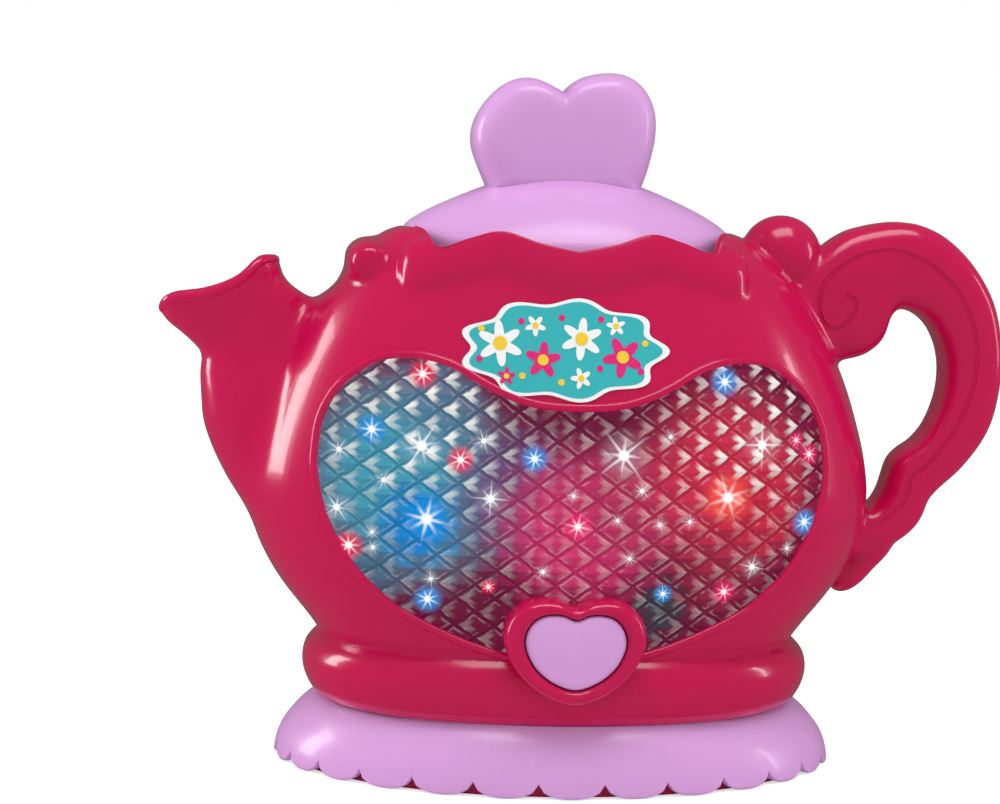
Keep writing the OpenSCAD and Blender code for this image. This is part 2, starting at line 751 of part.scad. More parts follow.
pad_r = screw_r + 3;
module lid_dome() {
    color(lilac)
        difference() {
            union() {
                difference() {
                    dome_solid(0);
                    dome_solid(wall);
                }
                intersection() {
                    dome_solid(0);
                    for (sx = [-1, 1])
                        translate([sx * knob_screw_x, 0, dome_top_z - pad_drop])
                            cylinder(r = pad_r, h = pad_drop, $fn = edge_sides);
                }
            }
            for (sx = [-1, 1])
                translate([sx * knob_screw_x, 0, dome_top_z - pad_drop - over])
                    cylinder(r = shank_r, h = pad_drop + 2 * over, $fn = edge_sides);
        }
}

// Heart knob: balls along each half of a plump heart, as shares of its half width and height
heart_sink = 3.5;
knob_base_z = dome_top_z - heart_sink;
knob_bead_shares = [[0.395, 0.02, 0.455], [0.478, 0.36, 0.53], [0.468, 0.56, 0.53]];
knob_middle_share = [0, 0.45, 0.46];
knob_bulge = knob_bead_shares[1][2] * knob_w;
module knob_bead(s) {
    translate([s[0] * knob_w / 2, 0, knob_base_z + s[1] * (knob_top_z - knob_base_z)])
        scale([1, knob_t / knob_bulge, 1])
            sphere(r = s[2] * knob_w / 2, $fn = knob_sides);
}
module knob_hull(a, b) {
    hull() {
        knob_bead(a);
        knob_bead(b);
    }
}
function flipped(s) = [-s[0], s[1], s[2]];

module heart_knob() {
    beads = knob_bead_shares;
    color(lilac)
        difference() {
            union() {
                for (i = [0 : 1]) {
                    knob_hull(beads[i], beads[i + 1]);
                    knob_hull(flipped(beads[i]), flipped(beads[i + 1]));
                }
                knob_hull(beads[0], flipped(beads[0]));
                knob_hull(beads[1], flipped(beads[1]));
                knob_hull(knob_middle_share, beads[2]);
                knob_hull(knob_middle_share, flipped(beads[2]));
            }
            scale([1, dome_d / dome_w, 1])
                translate([0, 0, dome_centre_z])
                    sphere(r = dome_r + seat_gap, $fn = lid_sides / 2);
            for (sx = [-1, 1])
                translate([sx * knob_screw_x, 0, knob_base_z])
                    cylinder(r = shank_r, h = knob_screw_grip, $fn = band_sides);
        }
}

// Screw along +Z with its head below zero
module screw(length) {
    translate([0, 0, -head_h])
        cylinder(r = head_r, h = head_h, $fn = edge_sides);
    cylinder(r = screw_r, h = length, $fn = edge_sides);
}

module knob_screws() {
    color(steel)
        for (sx = [-1, 1])
            translate([sx * knob_screw_x, 0, dome_top_z - pad_drop])
                screw(knob_screw_grip);
}

// Water tank under the lid, with a neck towards the spout
tank_bottom = ledge_top - tank_h;
filler_x = 8;
filler_r = 7;
duct_rise = 10.5;
duct_origin = [-tank_l / 2, 0, tank_bottom + duct_rise];
neck_l = 6;
neck_in = 6.4;
neck_flange_t = 1.5;
seal_t = 1.5;
disc_t = 0.6;
duct_l = 54;
duct_wall = 1.2;
disc_at = neck_l + seal_t + seat_gap / 2;
cup_at = disc_at + disc_t + seat_gap;

module stadium(l, w, h) {
    linear_extrude(h) {
        square([l - w, w], center = true);
        for (sx = [-1, 1])
            translate([sx * (l - w) / 2, 0])
                circle(d = w, $fn = edge_sides);
    }
}
module on_duct(s) {
    translate(duct_origin)
        rotate([0, duct_tilt - 90, 0])
            translate([0, 0, s])
                children();
}

module water_tank() {
    color("#f2cbe6")
        difference() {
            union() {
                translate([0, 0, tank_bottom])
                    stadium(tank_l, tank_w, tank_h + flange_t);
                translate([0, 0, ledge_top])
                    oval_plate(tank_flange[0], tank_flange[1], flange_t);
                on_duct(-neck_in)
                    cylinder(r = wick_r + slide_gap + tank_wall, h = neck_l + neck_in, $fn = edge_sides);
                on_duct(neck_l - neck_flange_t)
                    cylinder(r = disc_r, h = neck_flange_t, $fn = edge_sides);
            }
            translate([0, 0, tank_bottom + tank_wall])
                stadium(tank_l - 2 * tank_wall, tank_w - 2 * tank_wall, tank_h - tank_wall);
            translate([filler_x, 0, ledge_top - over])
                cylinder(r = filler_r, h = flange_t + 2 * over, $fn = edge_sides);
            on_duct(-neck_in - over)
                cylinder(r = wick_r + slide_gap, h = neck_l + neck_in + 2 * over, $fn = edge_sides);
            for (sx = [-1, 1])
                translate([sx * tank_screw_x, 0, ledge_top - over])
                    cylinder(r = shank_r, h = flange_t + 2 * over, $fn = edge_sides);
        }
}

plug_head_r = filler_r + 2.4;
plug_head_t = 2;
plug_l = 3.6;
plug_grip_r = 3.1;
plug_grip_h = 5;
module tank_plug() {
    color("#f7f3f0")
        translate([filler_x, 0, ledge_top + flange_t + seat_gap]) {
            cylinder(r = plug_head_r, h = plug_head_t, $fn = edge_sides);
            cylinder(r = plug_grip_r, h = plug_grip_h, $fn = edge_sides);
            translate([0, 0, -flange_t - plug_l])
                cylinder(r = filler_r - slide_gap, h = flange_t + plug_l, $fn = edge_sides);
        }
}

wick_in_tank = 13;
module cotton_wick() {
    color("#fbfbf7")
        on_duct(-wick_in_tank)
            cylinder(r = wick_r, h = wick_in_tank + disc_at - seat_gap, $fn = edge_sides);
}

module disc_seal() {
    color(dark)
        on_duct(neck_l)
            difference() {
                cylinder(r = disc_r, h = seal_t, $fn = edge_sides);
                translate([0, 0, -over])
                    cylinder(r = wick_r + slide_gap, h = seal_t + 2 * over, $fn = edge_sides);
            }
}

module mist_disc() {
    color(steel)
        on_duct(disc_at)
            cylinder(r = disc_r - seat_gap, h = disc_t, $fn = edge_sides);
}

module mist_duct() {
    cup_r = disc_r + slide_gap;
    cup_wall = 1.3 * duct_wall;
    color("#efe9ec")
        on_duct(0)
            rotate_extrude($fn = edge_sides)
                polygon([[cup_r, neck_l - neck_flange_t], [cup_r + cup_wall, neck_l - neck_flange_t],
                    [cup_r + cup_wall, cup_at + duct_wall], [duct_r, cup_at + duct_r], [duct_r, duct_l],
                    [duct_r - duct_wall, duct_l], [duct_r - duct_wall, cup_at + duct_r - duct_wall],
                    [cup_r - duct_wall, cup_at], [cup_r, cup_at]]);
}

// Saucer: a scalloped skirt with a flat top on which the shells stand
saucer_ledge = [13.5, 11];
saucer_hole = [ring_w / 2 - saucer_ledge[0], ring_d / 2 - saucer_ledge[1]];
module saucer_solid(by) {
    rotate_extrude($fn = edge_sides)
        polygon(concat([[0, by > 0 ? -over : 0]],
            [for (s = saucer_shares) [s[0] * saucer_w / 2 - by, s[1] * (saucer_h - by)]],
            [[0, saucer_h - by]]));
}

// Notch between two scallops: what lies below two quarter arcs
module scallop_notch() {
    pitch = 180 * saucer_w / 2 / (scallops * 180 / PI);
    arc = [for (a = [0 : 15 : 90]) [pitch * sin(a), scallop_h * (1 - cos(a))]];
    rotate([90, 0, 90])
        linear_extrude(saucer_w)
            polygon(concat([for (p = arc) [p[0] - pitch, p[1]]],
                [for (i = [len(arc) - 2 : -1 : 0]) [pitch - arc[i][0], arc[i][1]]],
                [[pitch, -over], [-pitch, -over]]));
}

module saucer() {
    color(lilac)
        difference() {
            scale([1, saucer_d / saucer_w, 1])
                difference() {
                    saucer_solid(0);
                    saucer_solid(wall);
                    for (k = [0 : scallops - 1])
                        rotate([0, 0, 360 * (k + 0.5) / scallops])
                            scallop_notch();
                }
            translate([0, 0, saucer_h - wall - over])
                oval_plate(saucer_hole[0], saucer_hole[1], wall + 2 * over);
            for (p = base_posts)
                translate([p[0], p[1], saucer_h - wall - over])
                    cylinder(r = shank_r, h = wall + 2 * over, $fn = edge_sides);
        }
}

// Battery bay under the left half of the base
plate_half = [saucer_w / 2 - wall - base_gap, saucer_d / 2 - wall - base_gap];
plate_rim_t = 1.8;
cell_gap = 0.4;
contact_room = 2.6;
contact_t = 0.4;
bay_in = [cells * (cell_d + cell_gap) + cell_gap, cell_l + 2 * contact_room];
bay_wall = 1.4;
bay_roof_t = 0.9;
door_t = 2;
door_lap = 2;
door_sink = 0.2;
door_top = door_sink + door_t;
cell_z = door_top + slide_gap + cell_d / 2;
bay_roof_z = cell_z + cell_d / 2 + slide_gap;
door_tab_y = bay_in[1] / 2 + door_lap + head_r;
door_tab_r = head_r + 1.4;
door_screw_l = 6;
door_post_top = door_top + door_screw_l;

module bay_box(extra, z0, z1) {
    size = [bay_in[0] + 2 * extra, bay_in[1] + 2 * extra];
    translate([-bay_x - size[0] / 2, -size[1] / 2, z0])
        cube([size[0], size[1], z1 - z0]);
}
module door_shape(extra, z0, z1) {
    bay_box(door_lap + extra, z0, z1);
    translate([-bay_x, door_tab_y, z0])
        cylinder(r = door_tab_r + extra, h = z1 - z0, $fn = edge_sides);
}

// Speaker, its ring of sound holes and its clamp
speaker_frame_t = 1.8;
speaker_seat_z = plate_t + seat_gap;
clamp_t = 1.2;
clamp_z = speaker_seat_z + speaker_frame_t + seat_gap;
clamp_reach = speaker_d / 2 + 4;
clamp_post_r = 2.8;
speaker_ring_wall = 1.5;
sound_hole_r = 1.2;
sound_ring_pitch = 4.2;
small_r = 0.8;
small_head_r = 1.5;
small_head_h = 1;
small_grip = 3;

// Power switch in a slot of the base plate
slot = [4.6, 5 + switch_travel + 2 * slide_gap];
knob_nub = [4, 5];
knob_plate = [9, 7, 1.4];
knob_sink = 0.6;
knob_z = plate_t + slide_gap;
knob_lever = 1.8;
lever_h = 3.4;
switch_flange_t = 0.6;
switch_box = [7, 13, 5];
switch_ear_y = 9;
switch_post_r = 2.2;
switch_z = knob_z + knob_plate[2] + 2 * seat_gap;

module each_mirrored_y(y) {
    for (sy = [-1, 1])
        translate([0, sy * y, 0])
            children();
}

module base_plate() {
    post_h = saucer_h - wall - seat_gap;
    color(crimson)
        difference() {
            union() {
                oval_plate(plate_half[0], plate_half[1], plate_t);
                difference() {
                    oval_plate(plate_half[0], plate_half[1], plate_rim_h);
                    translate([0, 0, over])
                        oval_plate(plate_half[0] - plate_rim_t, plate_half[1] - plate_rim_t, plate_rim_h);
                }
                for (p = base_posts)
                    translate([p[0], p[1], 0])
                        cylinder(r = post_r, h = post_h, $fn = edge_sides);
                for (p = base_posts)
                    translate([p[0], p[1], 0])
                        cylinder(r = well_r + bay_wall, h = base_screw_seat + wall, $fn = edge_sides);
                bay_box(bay_wall, 0, bay_roof_z + bay_roof_t);
                translate([-bay_x, door_tab_y, 0])
                    cylinder(r = post_r, h = door_post_top + over, $fn = edge_sides);
                translate([speaker_x, 0, 0]) {
                    cylinder(r = speaker_d / 2 + slide_gap + speaker_ring_wall, h = clamp_z - seat_gap,
                        $fn = edge_sides);
                    each_mirrored_y(clamp_reach)
                        cylinder(r = clamp_post_r, h = clamp_z - seat_gap, $fn = edge_sides);
                }
                translate([switch_x, 0, 0])
                    each_mirrored_y(switch_ear_y)
                        cylinder(r = switch_post_r, h = switch_z, $fn = edge_sides);
            }
            bay_box(0, -over, bay_roof_z);
            door_shape(slide_gap, -over, door_top + seat_gap);
            translate([-bay_x, door_tab_y, -over])
                cylinder(r = shank_r, h = door_post_top + over, $fn = edge_sides);
            for (p = base_posts)
                translate([p[0], p[1], -over]) {
                    cylinder(r = well_r, h = base_screw_seat + over, $fn = edge_sides);
                    cylinder(r = shank_r, h = saucer_h, $fn = edge_sides);
                }
            translate([speaker_x, 0, 0]) {
                translate([0, 0, plate_t])
                    cylinder(r = speaker_d / 2 + slide_gap, h = saucer_h, $fn = edge_sides);
                translate([0, 0, -over])
                    for (ring = [0 : 2], k = [0 : max(6 * ring, 1) - 1])
                        rotate([0, 0, 60 * k / max(ring, 1)])
                            translate([ring * sound_ring_pitch, 0, 0])
                                cylinder(r = sound_hole_r, h = plate_t + 2 * over, $fn = edge_sides);
                each_mirrored_y(clamp_reach)
                    translate([0, 0, clamp_z - small_grip - over])
                        cylinder(r = small_r + screw_gap, h = small_grip + 2 * over, $fn = edge_sides);
            }
            translate([switch_x, 0, 0]) {
                translate([-slot[0] / 2, -slot[1] / 2, -over])
                    cube([slot[0], slot[1], plate_t + 2 * over]);
                each_mirrored_y(switch_ear_y)
                    translate([0, 0, switch_z - small_grip - over / 2])
                        cylinder(r = small_r + screw_gap, h = small_grip + over, $fn = edge_sides);
            }
        }
}

module battery_door() {
    color(crimson)
        difference() {
            union() {
                door_shape(0, door_sink, door_top);
                bay_box(-slide_gap, door_sink, door_top + seat_gap);
            }
            translate([-bay_x, door_tab_y, -over])
                cylinder(r = shank_r, h = door_top + 2 * over, $fn = edge_sides);
            translate([-bay_x, door_tab_y, door_sink - over])
                cylinder(r = head_r + screw_gap, h = over + door_t / 2, $fn = edge_sides);
        }
}

module door_screw() {
    head_sink = 0.2;
    head = door_t / 2 - head_sink;
    color(steel)
        translate([-bay_x, door_tab_y, door_sink + head_sink]) {
            cylinder(r = head_r, h = head, $fn = edge_sides);
            cylinder(r = screw_r, h = head + door_screw_l, $fn = edge_sides);
        }
}

function cell_x(i) = -bay_x + (i - (cells - 1) / 2) * (cell_d + cell_gap);
function cell_way(i) = i % 2 == 0 ? 1 : -1;
nub_l = 1.2;
nub_r = 1.9;
module batteries() {
    color("#4a6fa8")
        for (i = [0 : cells - 1])
            translate([cell_x(i), -cell_way(i) * cell_l / 2, cell_z])
                rotate([-90 * cell_way(i), 0, 0]) {
                    cylinder(r = cell_d / 2, h = cell_l - nub_l, $fn = edge_sides);
                    cylinder(r = nub_r, h = cell_l, $fn = edge_sides);
                }
}

// Each cell has a flat plate at its nub and a plate with a coned spring at its other end
module battery_contacts() {
    side = 0.78 * cell_d;
    spring_r = [0.36 * cell_d, 0.26 * cell_d];
    color(steel)
        for (i = [0 : cells - 1], end = [-1, 1])
            translate([cell_x(i), end * (cell_l / 2 + contact_room), cell_z])
                rotate([90 * end, 0, 0]) {
                    translate([-side / 2, -side / 2, seat_gap])
                        cube([side, side, contact_t]);
                    difference() {
                        cylinder(r1 = end == cell_way(i) ? nub_r : spring_r[0],
                            r2 = end == cell_way(i) ? nub_r : spring_r[1], h = contact_room - seat_gap,
                            $fn = edge_sides);
                        translate([0, 0, -over])
                            cylinder(r = cell_d, h = over + contact_t, $fn = edge_sides);
                    }
                }
}

basket_r = 0.75 * speaker_d / 2;
module speaker() {
    basket_h = 3;
    magnet = [0.55 * speaker_d / 2, 3.6];
    cone_sink = 1;
    color(dark)
        translate([speaker_x, 0, speaker_seat_z])
            difference() {
                union() {
                    cylinder(r = speaker_d / 2, h = speaker_frame_t, $fn = edge_sides);
                    cylinder(r = basket_r, h = speaker_frame_t + basket_h, $fn = edge_sides);
                    cylinder(r = magnet[0], h = speaker_frame_t + basket_h + magnet[1], $fn = edge_sides);
                }
                translate([0, 0, -over])
                    cylinder(r = basket_r - wall, h = over + cone_sink, $fn = edge_sides);
            }
}

module speaker_clamp() {
    color(steel)
        translate([speaker_x, 0, clamp_z])
            difference() {
                linear_extrude(clamp_t)
                    difference() {
                        union() {
                            circle(r = speaker_d / 2, $fn = edge_sides);
                            square([2 * clamp_post_r, 2 * clamp_reach], center = true);
                            each_mirrored_y(clamp_reach)
                                circle(r = clamp_post_r, $fn = edge_sides);
                        }
                        circle(r = basket_r + slide_gap, $fn = edge_sides);
                    }
                each_mirrored_y(clamp_reach)
                    translate([0, 0, -over])
                        cylinder(r = small_r + screw_gap, h = clamp_t + 2 * over, $fn = edge_sides);
            }
}

module small_screw() {
    cylinder(r = small_head_r, h = small_head_h, $fn = edge_sides);
    translate([0, 0, -small_grip])
        cylinder(r = small_r, h = small_grip, $fn = edge_sides);
}

module clamp_screws() {
    color(steel)
        translate([speaker_x, 0, clamp_z + clamp_t])
            each_mirrored_y(clamp_reach)
                small_screw();
}

module slide_switch() {
    color(steel)
        translate([switch_x, 0, switch_z])
            difference() {
                union() {
                    translate([-switch_box[0] / 2, -switch_box[1] / 2, 0])
                        cube(switch_box);
                    translate([-switch_box[0] / 2, -switch_ear_y - switch_post_r, 0])
                        cube([switch_box[0], 2 * (switch_ear_y + switch_post_r), switch_flange_t]);
                }
                translate([-knob_lever / 2 - slide_gap, -(knob_lever + switch_travel) / 2 - slide_gap, -over])
                    cube([knob_lever + 2 * slide_gap, knob_lever + switch_travel + 2 * slide_gap,
                        over + lever_h]);
                each_mirrored_y(switch_ear_y)
                    translate([0, 0, -over])
                        cylinder(r = small_r + screw_gap, h = 2 * over + switch_flange_t, $fn = edge_sides);
            }
}

module switch_knob() {
    color(dark)
        translate([switch_x, -switch_travel / 2, 0]) {
            translate([-knob_nub[0] / 2, -knob_nub[1] / 2, knob_sink])
                cube([knob_nub[0], knob_nub[1], knob_z - knob_sink]);
            translate([-knob_plate[0] / 2, -knob_plate[1] / 2, knob_z])
                cube(knob_plate);
            translate([-knob_lever / 2, -knob_lever / 2, knob_z])
                cube([knob_lever, knob_lever, switch_z - knob_z + lever_h - slide_gap]);
        }
}

module switch_screws() {
    color(steel)
        translate([switch_x, 0, switch_z + switch_flange_t])
            each_mirrored_y(switch_ear_y)
                small_screw();
}

// Circuit board on the posts of the rear shell, with its parts on the front
main_board_z = 0.31 * rim_z;
main_board_size = [0.74 * half_belly, 0.318 * rim_z];
// Parts on the board: sizes, then places from its middle
chip = [10, 2, 8];
can = [3.2, 8];
can_at = [13, 4.8];
coil = [4.5, 5];
coil_at = -11.2;
plug = [8, 5, 5];
plug_at = [15, -7.2];
module main_board() {
    color(board_green)
        difference() {
            translate([-main_board_size[0] / 2, main_board_back - board_t, main_board_z])
                cube([main_board_size[0], board_t, main_board_size[1]]);
            for (p = board_posts)
                translate([p[0], main_board_back - board_t - over, p[1]])
                    rotate([-90, 0, 0])
                        cylinder(r = shank_r, h = board_t + 2 * over, $fn = edge_sides);
        }
}

module board_parts() {
    face = main_board_back - board_t;
    mid_z = main_board_z + main_board_size[1] / 2;
    color(dark) {
        translate([-chip[0] / 2, face - chip[1], mid_z - chip[2] / 2])
            cube(chip);
        for (sx = [-1, 1])
            translate([sx * can_at[0], face, mid_z + can_at[1]])
                rotate([90, 0, 0])
                    cylinder(r = can[0], h = can[1], $fn = edge_sides);
        translate([0, face, mid_z + coil_at])
            rotate([90, 0, 0])
                cylinder(r = coil[0], h = coil[1], $fn = edge_sides);
        for (sx = [-1, 1])
            translate([sx * plug_at[0] - plug[0] / 2, face - plug[1], mid_z + plug_at[1]])
                cube(plug);
    }
}

module board_screws() {
    color(steel)
        for (p = board_posts)
            translate([p[0], main_board_back - board_t, p[1]])
                rotate([-90, 0, 0])
                    screw(board_screw_grip + board_t - over);
}

module led_screws() {
    color(steel)
        for (p = led_posts)
            translate([p[0], -board_front + board_t, p[1]])
                rotate([90, 0, 0])
                    screw(led_screw_grip);
}

module tank_screws() {
    color(steel)
        for (sx = [-1, 1])
            translate([sx * tank_screw_x, 0, ledge_top + flange_t])
                rotate([180, 0, 0])
                    screw(flange_t + ledge_t);
}

module shell_screws() {
    color(steel)
        for (p = shell_posts)
            translate([p[0], well_seat, p[1]])
                rotate([90, 0, 0])
                    screw(well_seat + shell_screw_grip - over);
}

module base_screws() {
    color(steel)
        for (p = base_posts)
            translate([p[0], p[1], base_screw_seat])
                screw(base_screw_top - base_screw_seat - over);
}

front_shell();
rear_shell();
window_lens();
light_tray();
led_board();
leds();
badge();
heart_button();
switch_plunger();
push_switch();
lid_dome();
heart_knob();
knob_screws();
water_tank();
tank_plug();
cotton_wick();
disc_seal();
mist_disc();
mist_duct();
saucer();
base_plate();
battery_door();
door_screw();
batteries();
battery_contacts();
speaker();
speaker_clamp();
slide_switch();
switch_knob();
main_board();
board_parts();
board_screws();
led_screws();
tank_screws();
clamp_screws();
switch_screws();
shell_screws();
base_screws();
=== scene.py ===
# %% [markdown]
# # A toy teapot with a lit window
#
# The toy is a plump teapot moulded in glossy ABS: two crimson shells, a lilac lid with a heart knob, and
# a lilac scalloped saucer. A faceted window glows over coloured lights, and a heart button starts the
# sound and the mist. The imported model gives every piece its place, so each new piece is built straight
# into the same frame, in millimetres, and is scaled to metres at the end.

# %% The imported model
import bpy
import bmesh
import json
from math import atan2, cos, hypot, pi, radians, sin
from mathutils import Matrix, Vector
from mathutils.bvhtree import BVHTree


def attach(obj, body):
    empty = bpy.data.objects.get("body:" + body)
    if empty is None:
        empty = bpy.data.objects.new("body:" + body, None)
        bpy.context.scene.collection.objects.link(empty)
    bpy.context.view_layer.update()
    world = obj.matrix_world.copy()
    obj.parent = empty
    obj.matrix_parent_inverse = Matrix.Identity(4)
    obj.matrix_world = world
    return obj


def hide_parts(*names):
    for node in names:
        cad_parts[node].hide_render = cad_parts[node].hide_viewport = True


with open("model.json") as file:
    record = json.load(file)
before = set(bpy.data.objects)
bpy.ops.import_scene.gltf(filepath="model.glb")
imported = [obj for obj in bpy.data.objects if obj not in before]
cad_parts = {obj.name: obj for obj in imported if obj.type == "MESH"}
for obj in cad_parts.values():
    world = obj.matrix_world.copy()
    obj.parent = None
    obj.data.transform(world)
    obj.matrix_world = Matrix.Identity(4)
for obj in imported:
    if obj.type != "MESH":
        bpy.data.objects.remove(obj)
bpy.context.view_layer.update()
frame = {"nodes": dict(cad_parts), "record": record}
cad = frame["nodes"]
MM = 0.001
print("packed pieces:", len(cad))

# %% [markdown]
# ## Camera
#
# The photograph looks slightly down from the left of the middle, from about 0.6 m away. The lens length
# and the turn of the camera were fitted to outlines that the photograph shows, with the frame's axes.

# %% Camera
scene = bpy.context.scene
yaw, pitch, roll = radians(4.47), radians(4.764), radians(1.35)
forward = Vector((sin(yaw) * cos(pitch), cos(yaw) * cos(pitch), -sin(pitch)))
level = Vector((cos(yaw), -sin(yaw), 0))
upright = level.cross(forward)
right = level * cos(roll) + upright * sin(roll)
up = upright * cos(roll) - level * sin(roll)
aim = Matrix((right, up, -forward)).transposed().to_4x4()
aim.translation = Vector((-0.06167, -0.58677, 0.1419))
camera_data = bpy.data.cameras.new("camera")
camera_data.sensor_width = 36
camera_data.lens = 81
camera_data.clip_start = 0.01
camera = bpy.data.objects.new("camera", camera_data)
camera.matrix_world = aim
scene.collection.objects.link(camera)
scene.camera = camera

# %% [markdown]
# ## Curves and sections
#
# A teapot has hardly a straight line on it. Its outlines are smooth curves through a few points, and
# each plump form is a row of oval sections: a circle of points is extruded from section to section.

# %% Curves


def spline(points, steps, closed=False):
    """Smooth curve through points of any size."""
    count = len(points)
    out = []
    for i in range(count if closed else count - 1):
        p = [Vector(points[(i + k) % count if closed else min(max(i + k, 0), count - 1)])
             for k in (-1, 0, 1, 2)]
        for k in range(steps):
            t = k / steps
            out.append(0.5 * (2 * p[1] + (p[2] - p[0]) * t
                              + (2 * p[0] - 5 * p[1] + 4 * p[2] - p[3]) * t * t
                              + (3 * p[1] - p[0] - 3 * p[2] + p[3]) * t ** 3))
    if not closed:
        out.append(Vector(points[-1]))
    return out


def mirrored(half, steps):
    """Closed curve through the points of a right half and their mirror images."""
    return spline(half + [(-p[0], p[1]) for p in reversed(half[1:-1])], steps, closed=True)


def between(rows, at, column):
    """Value of a column at a height, along straight lines between rows."""
    if at <= rows[0][0]:
        return rows[0][column]
    for low, high in zip(rows, rows[1:]):
        if at <= high[0]:
            t = (at - low[0]) / (high[0] - low[0])
            return low[column] + t * (high[column] - low[column])
    return rows[-1][column]


def turns(count, first=0):
    """Angles of a full turn in equal steps, from some steps on."""
    return [2 * pi * (k + first) / count for k in range(count)]


def oval(row, sides, power, shrink=0.0):
    """Ring of places round a section: middle x and z, half width, half depth and tilt."""
    x, z, half_w, half_d, tilt = row
    ring = []
    for turn in turns(sides):
        c, s = cos(turn), sin(turn)
        u = abs(c) ** (2 / power) * (1 if c > 0 else -1) * (half_w - shrink)
        v = abs(s) ** (2 / power) * (1 if s > 0 else -1) * (half_d - shrink)
        ring.append(Vector((x + u * cos(tilt), v, z + u * sin(tilt))))
    return ring


def ovals(rows, sides, power, shrink=0.0):
    return [oval(row, sides, power, shrink) for row in rows]


def ring_edges(bm, ring):
    return [bm.edges.get((ring[i - 1], ring[i])) for i in range(len(ring))]


def loft(bm, rings, caps=True):
    """Skin over closed rings of places: a circle that is extruded from each ring to the next."""
    order = bm.verts.layers.int.get("order") or bm.verts.layers.int.new("order")
    ring = bmesh.ops.create_circle(bm, segments=len(rings[0]), radius=1)["verts"]
    for i, (vert, place) in enumerate(zip(ring, rings[0])):
        vert[order] = i
        vert.co = place
    if caps:
        bmesh.ops.contextual_create(bm, geom=ring_edges(bm, ring))
    for places in rings[1:]:
        made = bmesh.ops.extrude_edge_only(bm, edges=ring_edges(bm, ring))["geom"]
        ring = sorted((g for g in made if isinstance(g, bmesh.types.BMVert)), key=lambda v: v[order])
        for vert, place in zip(ring, places):
            vert.co = place
    if caps:
        bmesh.ops.contextual_create(bm, geom=ring_edges(bm, ring))


def tube(bm, path, radius, sides, closed=False, reference=Vector((0, 1, 0))):
    """Round bead along a path."""
    count = len(path)
    rings = []
    for i, place in enumerate(path):
        after = path[(i + 1) % count] if closed or i < count - 1 else place
        before = path[i - 1] if closed or i > 0 else place
        side = (after - before).normalized().cross(reference).normalized()
        other = side.cross((after - before).normalized())
        rings.append([place + radius * (side * cos(t) + other * sin(t)) for t in turns(sides)])
    loft(bm, rings + rings[:1] if closed else rings, caps=not closed)


def cylinder(bm, place, radius, depth, segments=32, turn=Matrix()):
    bmesh.ops.create_cone(bm, cap_ends=True, segments=segments, radius1=radius, radius2=radius, depth=depth,
                          matrix=Matrix.Translation(place) @ turn)


# %% [markdown]
# ## Finishing a piece
#
# Each piece is cleaned once: doubles are merged, the faces are turned outwards, and it is scaled to
# metres. Smooth shading with sharp edges above an angle gives moulded curves and crisp rims alike.

# %% Finishing


def solid(name, bm, sharp=35.0):
    """Object from a bmesh in millimetres."""
    bmesh.ops.remove_doubles(bm, verts=bm.verts, dist=0.0005)
    bmesh.ops.recalc_face_normals(bm, faces=bm.faces)
    bmesh.ops.scale(bm, vec=(MM, MM, MM), verts=bm.verts)
    mesh = bpy.data.meshes.new(name)
    bm.to_mesh(mesh)
    bm.free()
    made = bpy.data.objects.new(name, mesh)
    scene.collection.objects.link(made)
    shade(made, sharp)
    return made


def built(name, build, sharp=35.0):
    """Object whose bmesh is filled by a function."""
    bm = bmesh.new()
    build(bm)
    return solid(name, bm, sharp)


def lofted(name, rings, caps=True):
    return built(name, lambda bm: loft(bm, rings, caps))


def block(name, outline, y0, y1):
    """Solid between two depths with an outline in front view."""
    return lofted(name, [[Vector((p[0], y, p[1])) for p in outline] for y in (y0, y1)])


def shade(piece, sharp=35.0):
    if sharp:
        piece.data.shade_smooth()
        piece.data.set_sharp_from_angle(angle=radians(sharp))
    else:
        piece.data.shade_flat()


def settled(piece):
    """Applies the piece's modifiers."""
    graph = bpy.context.evaluated_depsgraph_get()
    mesh = bpy.data.meshes.new_from_object(piece.evaluated_get(graph))
    piece.modifiers.clear()
    before = piece.data
    piece.data = mesh
    bpy.data.meshes.remove(before)
    mesh.name = piece.name


def carve(piece, tools, operation="DIFFERENCE"):
    """Cuts tools from a piece, or keeps what lies inside them; the tools are used up."""
    for tool in tools:
        cut = piece.modifiers.new("cut", "BOOLEAN")
        cut.operation = operation
        cut.solver = "MANIFOLD"
        cut.object = tool
    settled(piece)
    for tool in tools:
        mesh = tool.data
        bpy.data.objects.remove(tool)
        bpy.data.meshes.remove(mesh)


def belongs(piece, body, slot, *stands_for, material=None):
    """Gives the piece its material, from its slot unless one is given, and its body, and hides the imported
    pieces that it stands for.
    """
    piece.data.materials.clear()
    piece.data.materials.append(material or finishes[slot])
    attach(piece, body)
    if stands_for:
        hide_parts(*stands_for)
    print(piece.name, "faces:", len(piece.data.polygons))


def crimson(piece, *stands_for):
    belongs(piece, "teapot", "crimson_gloss", *stands_for)


# %% [markdown]
# ## Materials
#
# Colours are written as they look on a screen and turned to linear light. Moulded ABS is a dense, glossy
# plastic with a clear highlight, a very fine unevenness left by the mould, and a colour that hardly
# varies. The bump is drawn coarser than the real one, which is too fine to show.

# %% Colour and nodes


def linear(code):
    values = [int(code[i:i + 2], 16) / 255 for i in (1, 3, 5)]
    return tuple(v / 12.92 if v <= 0.04045 else ((v + 0.055) / 1.055) ** 2.4 for v in values) + (1.0,)


def begin(owner):
    """Clears the nodes of a material or world. The nodes that follow are added to its tree."""
    global tree
    owner.use_nodes = True
    tree = owner.node_tree
    tree.nodes.clear()
    return owner


